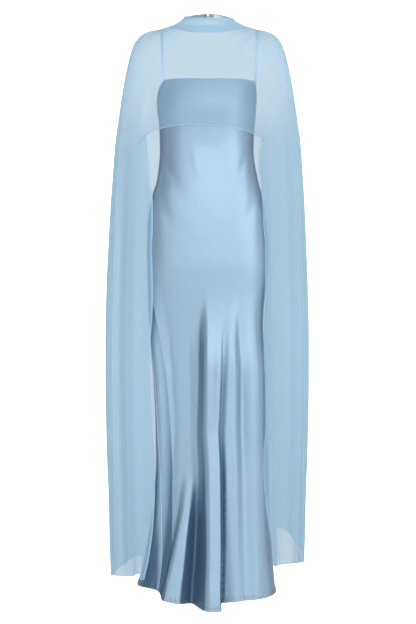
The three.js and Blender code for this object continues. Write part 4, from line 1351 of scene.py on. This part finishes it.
class CAPE_DRESS_OT_trim(MakePiece):
    """Makes the blank label, the size tab, and the button with its loop"""

    bl_idname = "cape_dress.trim"
    bl_label = "Label and button"

    def tape(self, settings, name, key, angles, rings, flat):
        """A flat tape inside the collar's back, between two angles and two rings, sewn down at both ends."""
        across = blend(angles[0], angles[1], np.linspace(0, 1, 30))[None, :]
        down = blend(rings[0], rings[1], np.linspace(0, 1, 12))[:, None]
        out = -(COLLAR_WALL + SEAM_GAP + 0.5)
        grid = near_cape(across + 0 * down, down + 0 * across, out)
        piece = piece_from_grids(name + "_cloth", [grid], material_for(key, settings))
        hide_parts(name)
        return grid

    def make(self, settings):
        """The tapes are sheets, the button a turned dome, the loop a tube with both feet on the collar."""
        label = self.tape(settings, "neck_label", "tape", LABEL_ANGLES, LABEL_RINGS, LABEL_FLAT)
        self.tape(settings, "size_tab", "tab", TAB_ANGLES, TAB_RINGS, TAB_FLAT)
        sewn = [*stitches(label[:, 1], 1.6, 0.8, 0.2), *stitches(label[:, -2], 1.6, 0.8, 0.2)]
        piece_from_grids("label_stitches", sewn, material_for("tape", settings), joined=False)
        button_angle = 180 - math.degrees(BUTTON_X / 65)
        middle = near_cape(button_angle, BUTTON_RING, SEAM_GAP + 0.4)
        above = near_cape(button_angle, BUTTON_RING, SEAM_GAP + 1.4)
        out = above - middle
        side = np.cross([0, 0, 1.0], out)
        side /= np.linalg.norm(side)
        up = np.cross(out, side)
        outline = [(0.1, 0.05), (3.2, 0), (4.4, 0.5), (4.3, 1.3), (3.4, 2.1), (1.8, 2.45), (0.1, 2.5)]
        profile = catmull(outline, 28)
        turn = np.linspace(0, 2 * math.pi, 41)[None, :, None]
        round_it = profile[:, 0][:, None, None] * (np.cos(turn) * side + np.sin(turn) * up)
        dome = middle + round_it + profile[:, 1][:, None, None] * out
        pearl = material_for("pearl", settings)
        button = piece_from_grids("neck_button_dome", [dome[:, ::-1]], pearl)
        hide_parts("neck_button")
        along = np.linspace(0, 1, 90)
        straight = (LOOP_FOOT - BUTTON_X) / LOOP_RADIUS
        length = along * (2 * straight + math.pi)
        bend = np.clip(length - straight, 0, math.pi)
        foot = np.maximum(0, straight - length) + np.maximum(0, length - straight - math.pi)
        reach = LOOP_RADIUS * (foot - np.sin(bend))
        rise = LOOP_RADIUS * np.cos(bend)
        path = middle + reach[:, None] * side + rise[:, None] * up + 0.45 * out
        satin = material_for("strap", settings)
        loop = piece_from_grids("neck_loop_tube", [tube(path, 0.8, 8)], satin)
        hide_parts("neck_loop")


class CAPE_DRESS_OT_stage(MakePiece):
    """Makes the pale floor and backdrop, the studio light and the camera"""

    bl_idname = "cape_dress.stage"
    bl_label = "Studio"

    def make(self, settings):
        """The backdrop is the floor swept up in a quarter circle: y and z follow it, and x its width."""
        floor, wall, bend = -1640.0, 2600.0, 900.0
        turn = np.linspace(0, math.pi / 2, 24)
        y = np.concatenate([[-6500], wall - bend + bend * np.sin(turn), [wall]])
        z = np.concatenate([[floor], floor + bend - bend * np.cos(turn), [3600]])
        x = np.linspace(-6000, 6000, 5)
        grid = np.stack(np.broadcast_arrays(x[None, :], y[:, None], z[:, None]), axis=-1)
        mesh = bpy.data.meshes.new("studio_sweep")
        mesh.from_pydata((grid.reshape(-1, 3) * METRES).tolist(), [], grid_faces(len(y), 5)[:, ::-1].tolist())
        mesh.polygons.foreach_set("use_smooth", np.ones(len(mesh.polygons), bool))
        sweep = bpy.data.objects.new("studio_sweep", mesh)
        bpy.context.scene.collection.objects.link(sweep)
        paper = bpy.data.materials.new("Pale paper")
        paper.use_nodes = True
        shader = paper.node_tree.nodes["Principled BSDF"]
        shader.inputs["Base Color"].default_value = (0.9, 0.9, 0.9, 1)
        shader.inputs["Roughness"].default_value = 0.9
        shader.inputs["Emission Color"].default_value = (1, 1, 1, 1)
        links = paper.node_tree.links
        links.new(self.bare_sight(paper.node_tree, 0.31, 0.9), shader.inputs["Emission Strength"])
        behind = paper.node_tree.nodes.new("ShaderNodeNewGeometry")
        clear = paper.node_tree.nodes.new("ShaderNodeBsdfTransparent")
        either = paper.node_tree.nodes.new("ShaderNodeMixShader")
        links.new(behind.outputs["Backfacing"], either.inputs[0])
        links.new(shader.outputs[0], either.inputs[1])
        links.new(clear.outputs[0], either.inputs[2])
        links.new(either.outputs[0], paper.node_tree.nodes["Material Output"].inputs["Surface"])
        mesh.materials.append(paper)
        self.lights(settings)
        self.camera()

    def bare_sight(self, tree, other, seen):
        """Gives seen where the camera looks straight at a surface, and other through cloth or for light."""
        path = tree.nodes.new("ShaderNodeLightPath")
        bare = node(tree, "ShaderNodeMath", (-400, -300), _1=0.5)
        bare.operation = "LESS_THAN"
        direct = node(tree, "ShaderNodeMath", (-300, -250))
        direct.operation = "MULTIPLY"
        value = node(tree, "ShaderNodeMapRange", (-200, -200), _3=other, _4=seen)
        tree.links.new(path.outputs["Transparent Depth"], bare.inputs[0])
        tree.links.new(path.outputs["Is Camera Ray"], direct.inputs[0])
        tree.links.new(bare.outputs[0], direct.inputs[1])
        tree.links.new(direct.outputs[0], value.inputs[0])
        return value.outputs[0]

    def lights(self, settings):
        """A white world, three large soft lights in front, and two rim lights for the sheer pieces alone."""
        scene = bpy.context.scene
        world = bpy.data.worlds.new("Studio")
        world.use_nodes = True
        world.node_tree.nodes["Background"].inputs["Color"].default_value = (1, 1, 1, 1)
        strength = self.bare_sight(world.node_tree, settings.world_strength, 1.0)
        world.node_tree.links.new(strength, world.node_tree.nodes["Background"].inputs["Strength"])
        scene.world = world
        sheer = bpy.data.collections.new("sheer_pieces")
        for piece in scene.objects:
            if piece.name.startswith(("cape_", "collar_")):
                sheer.objects.link(piece)
        for name, place, power, size in (
            ("right_bank", (3.3, -2.9, 0.5), settings.key_power * 0.45, (1.8, 3.2)),
            ("front_bank", (0.2, -4.8, 1.3), settings.key_power * 0.85, (4.4, 3.2)),
            ("left_bank", (-2.6, -3.6, 0.2), settings.key_power * 0.18, (1.4, 3.0)),
            ("left_rim", (-2.6, 1.7, 0.2), settings.key_power * 0.45, (1.2, 3.0)),
            ("right_rim", (2.6, 1.7, 0.2), settings.key_power * 0.12, (1.2, 3.0)),
        ):
            light = bpy.data.lights.new(name, "AREA")
            light.energy = power
            light.shape = "RECTANGLE"
            light.size, light.size_y = size
            lamp = bpy.data.objects.new(name, light)
            lamp.location = place
            aim = np.array([0, 0, -0.5]) - np.array(place)
            lamp.rotation_euler = (
                math.atan2(math.hypot(aim[0], aim[1]), -aim[2]), 0, math.atan2(aim[1], aim[0]) - math.pi / 2
            )
            scene.collection.objects.link(lamp)
            if name.endswith("rim"):
                lamp.light_linking.receiver_collection = sheer
        scene.view_settings.view_transform = "Standard"
        scene.cycles.transparent_max_bounces = 32
        scene.cycles.use_denoising = True

    def camera(self):
        """Level, 4.5 m in front, at half the dress's height, with a lens for 2.7 mm to a pixel."""
        lens = bpy.data.cameras.new("camera")
        lens.lens = 36 * 4500 / (624 * 2.7)
        camera = bpy.data.objects.new("camera", lens)
        camera.location = (0, -4.5, -0.759)
        camera.rotation_euler = (math.pi / 2, 0, 0)
        bpy.context.scene.collection.objects.link(camera)
        bpy.context.scene.camera = camera


class VIEW3D_PT_cape_dress(bpy.types.Panel):
    """Lists the settings and the pieces"""

    bl_label = "Cape dress"
    bl_space_type = "VIEW_3D"
    bl_region_type = "UI"
    bl_category = "Cape dress"

    def draw(self, context):
        """One row for each setting and each operator."""
        settings = context.scene.cape_dress
        for name in settings.__annotations__:
            self.layout.prop(settings, name)
        for operator in OPERATORS:
            self.layout.operator(operator.bl_idname)


OPERATORS = (
    CAPE_DRESS_OT_slip,
    CAPE_DRESS_OT_straps,
    CAPE_DRESS_OT_cape,
    CAPE_DRESS_OT_collar,
    CAPE_DRESS_OT_hems,
    CAPE_DRESS_OT_sewing,
    CAPE_DRESS_OT_trim,
    CAPE_DRESS_OT_stage,
)
CLASSES = (CapeDressSettings, *OPERATORS, VIEW3D_PT_cape_dress)


def register():
    """Registers the classes and the scene's settings."""
    for item in CLASSES:
        bpy.utils.register_class(item)
    bpy.types.Scene.cape_dress = bpy.props.PointerProperty(type=CapeDressSettings)


def unregister():
    """Takes back what register did."""
    del bpy.types.Scene.cape_dress
    for item in reversed(CLASSES):
        bpy.utils.unregister_class(item)


def main():
    """Makes every piece in order."""
    register()
    for operator in OPERATORS:
        group, name = operator.bl_idname.split(".")
        getattr(getattr(bpy.ops, group), name)()


if __name__ == "__main__":
    main()
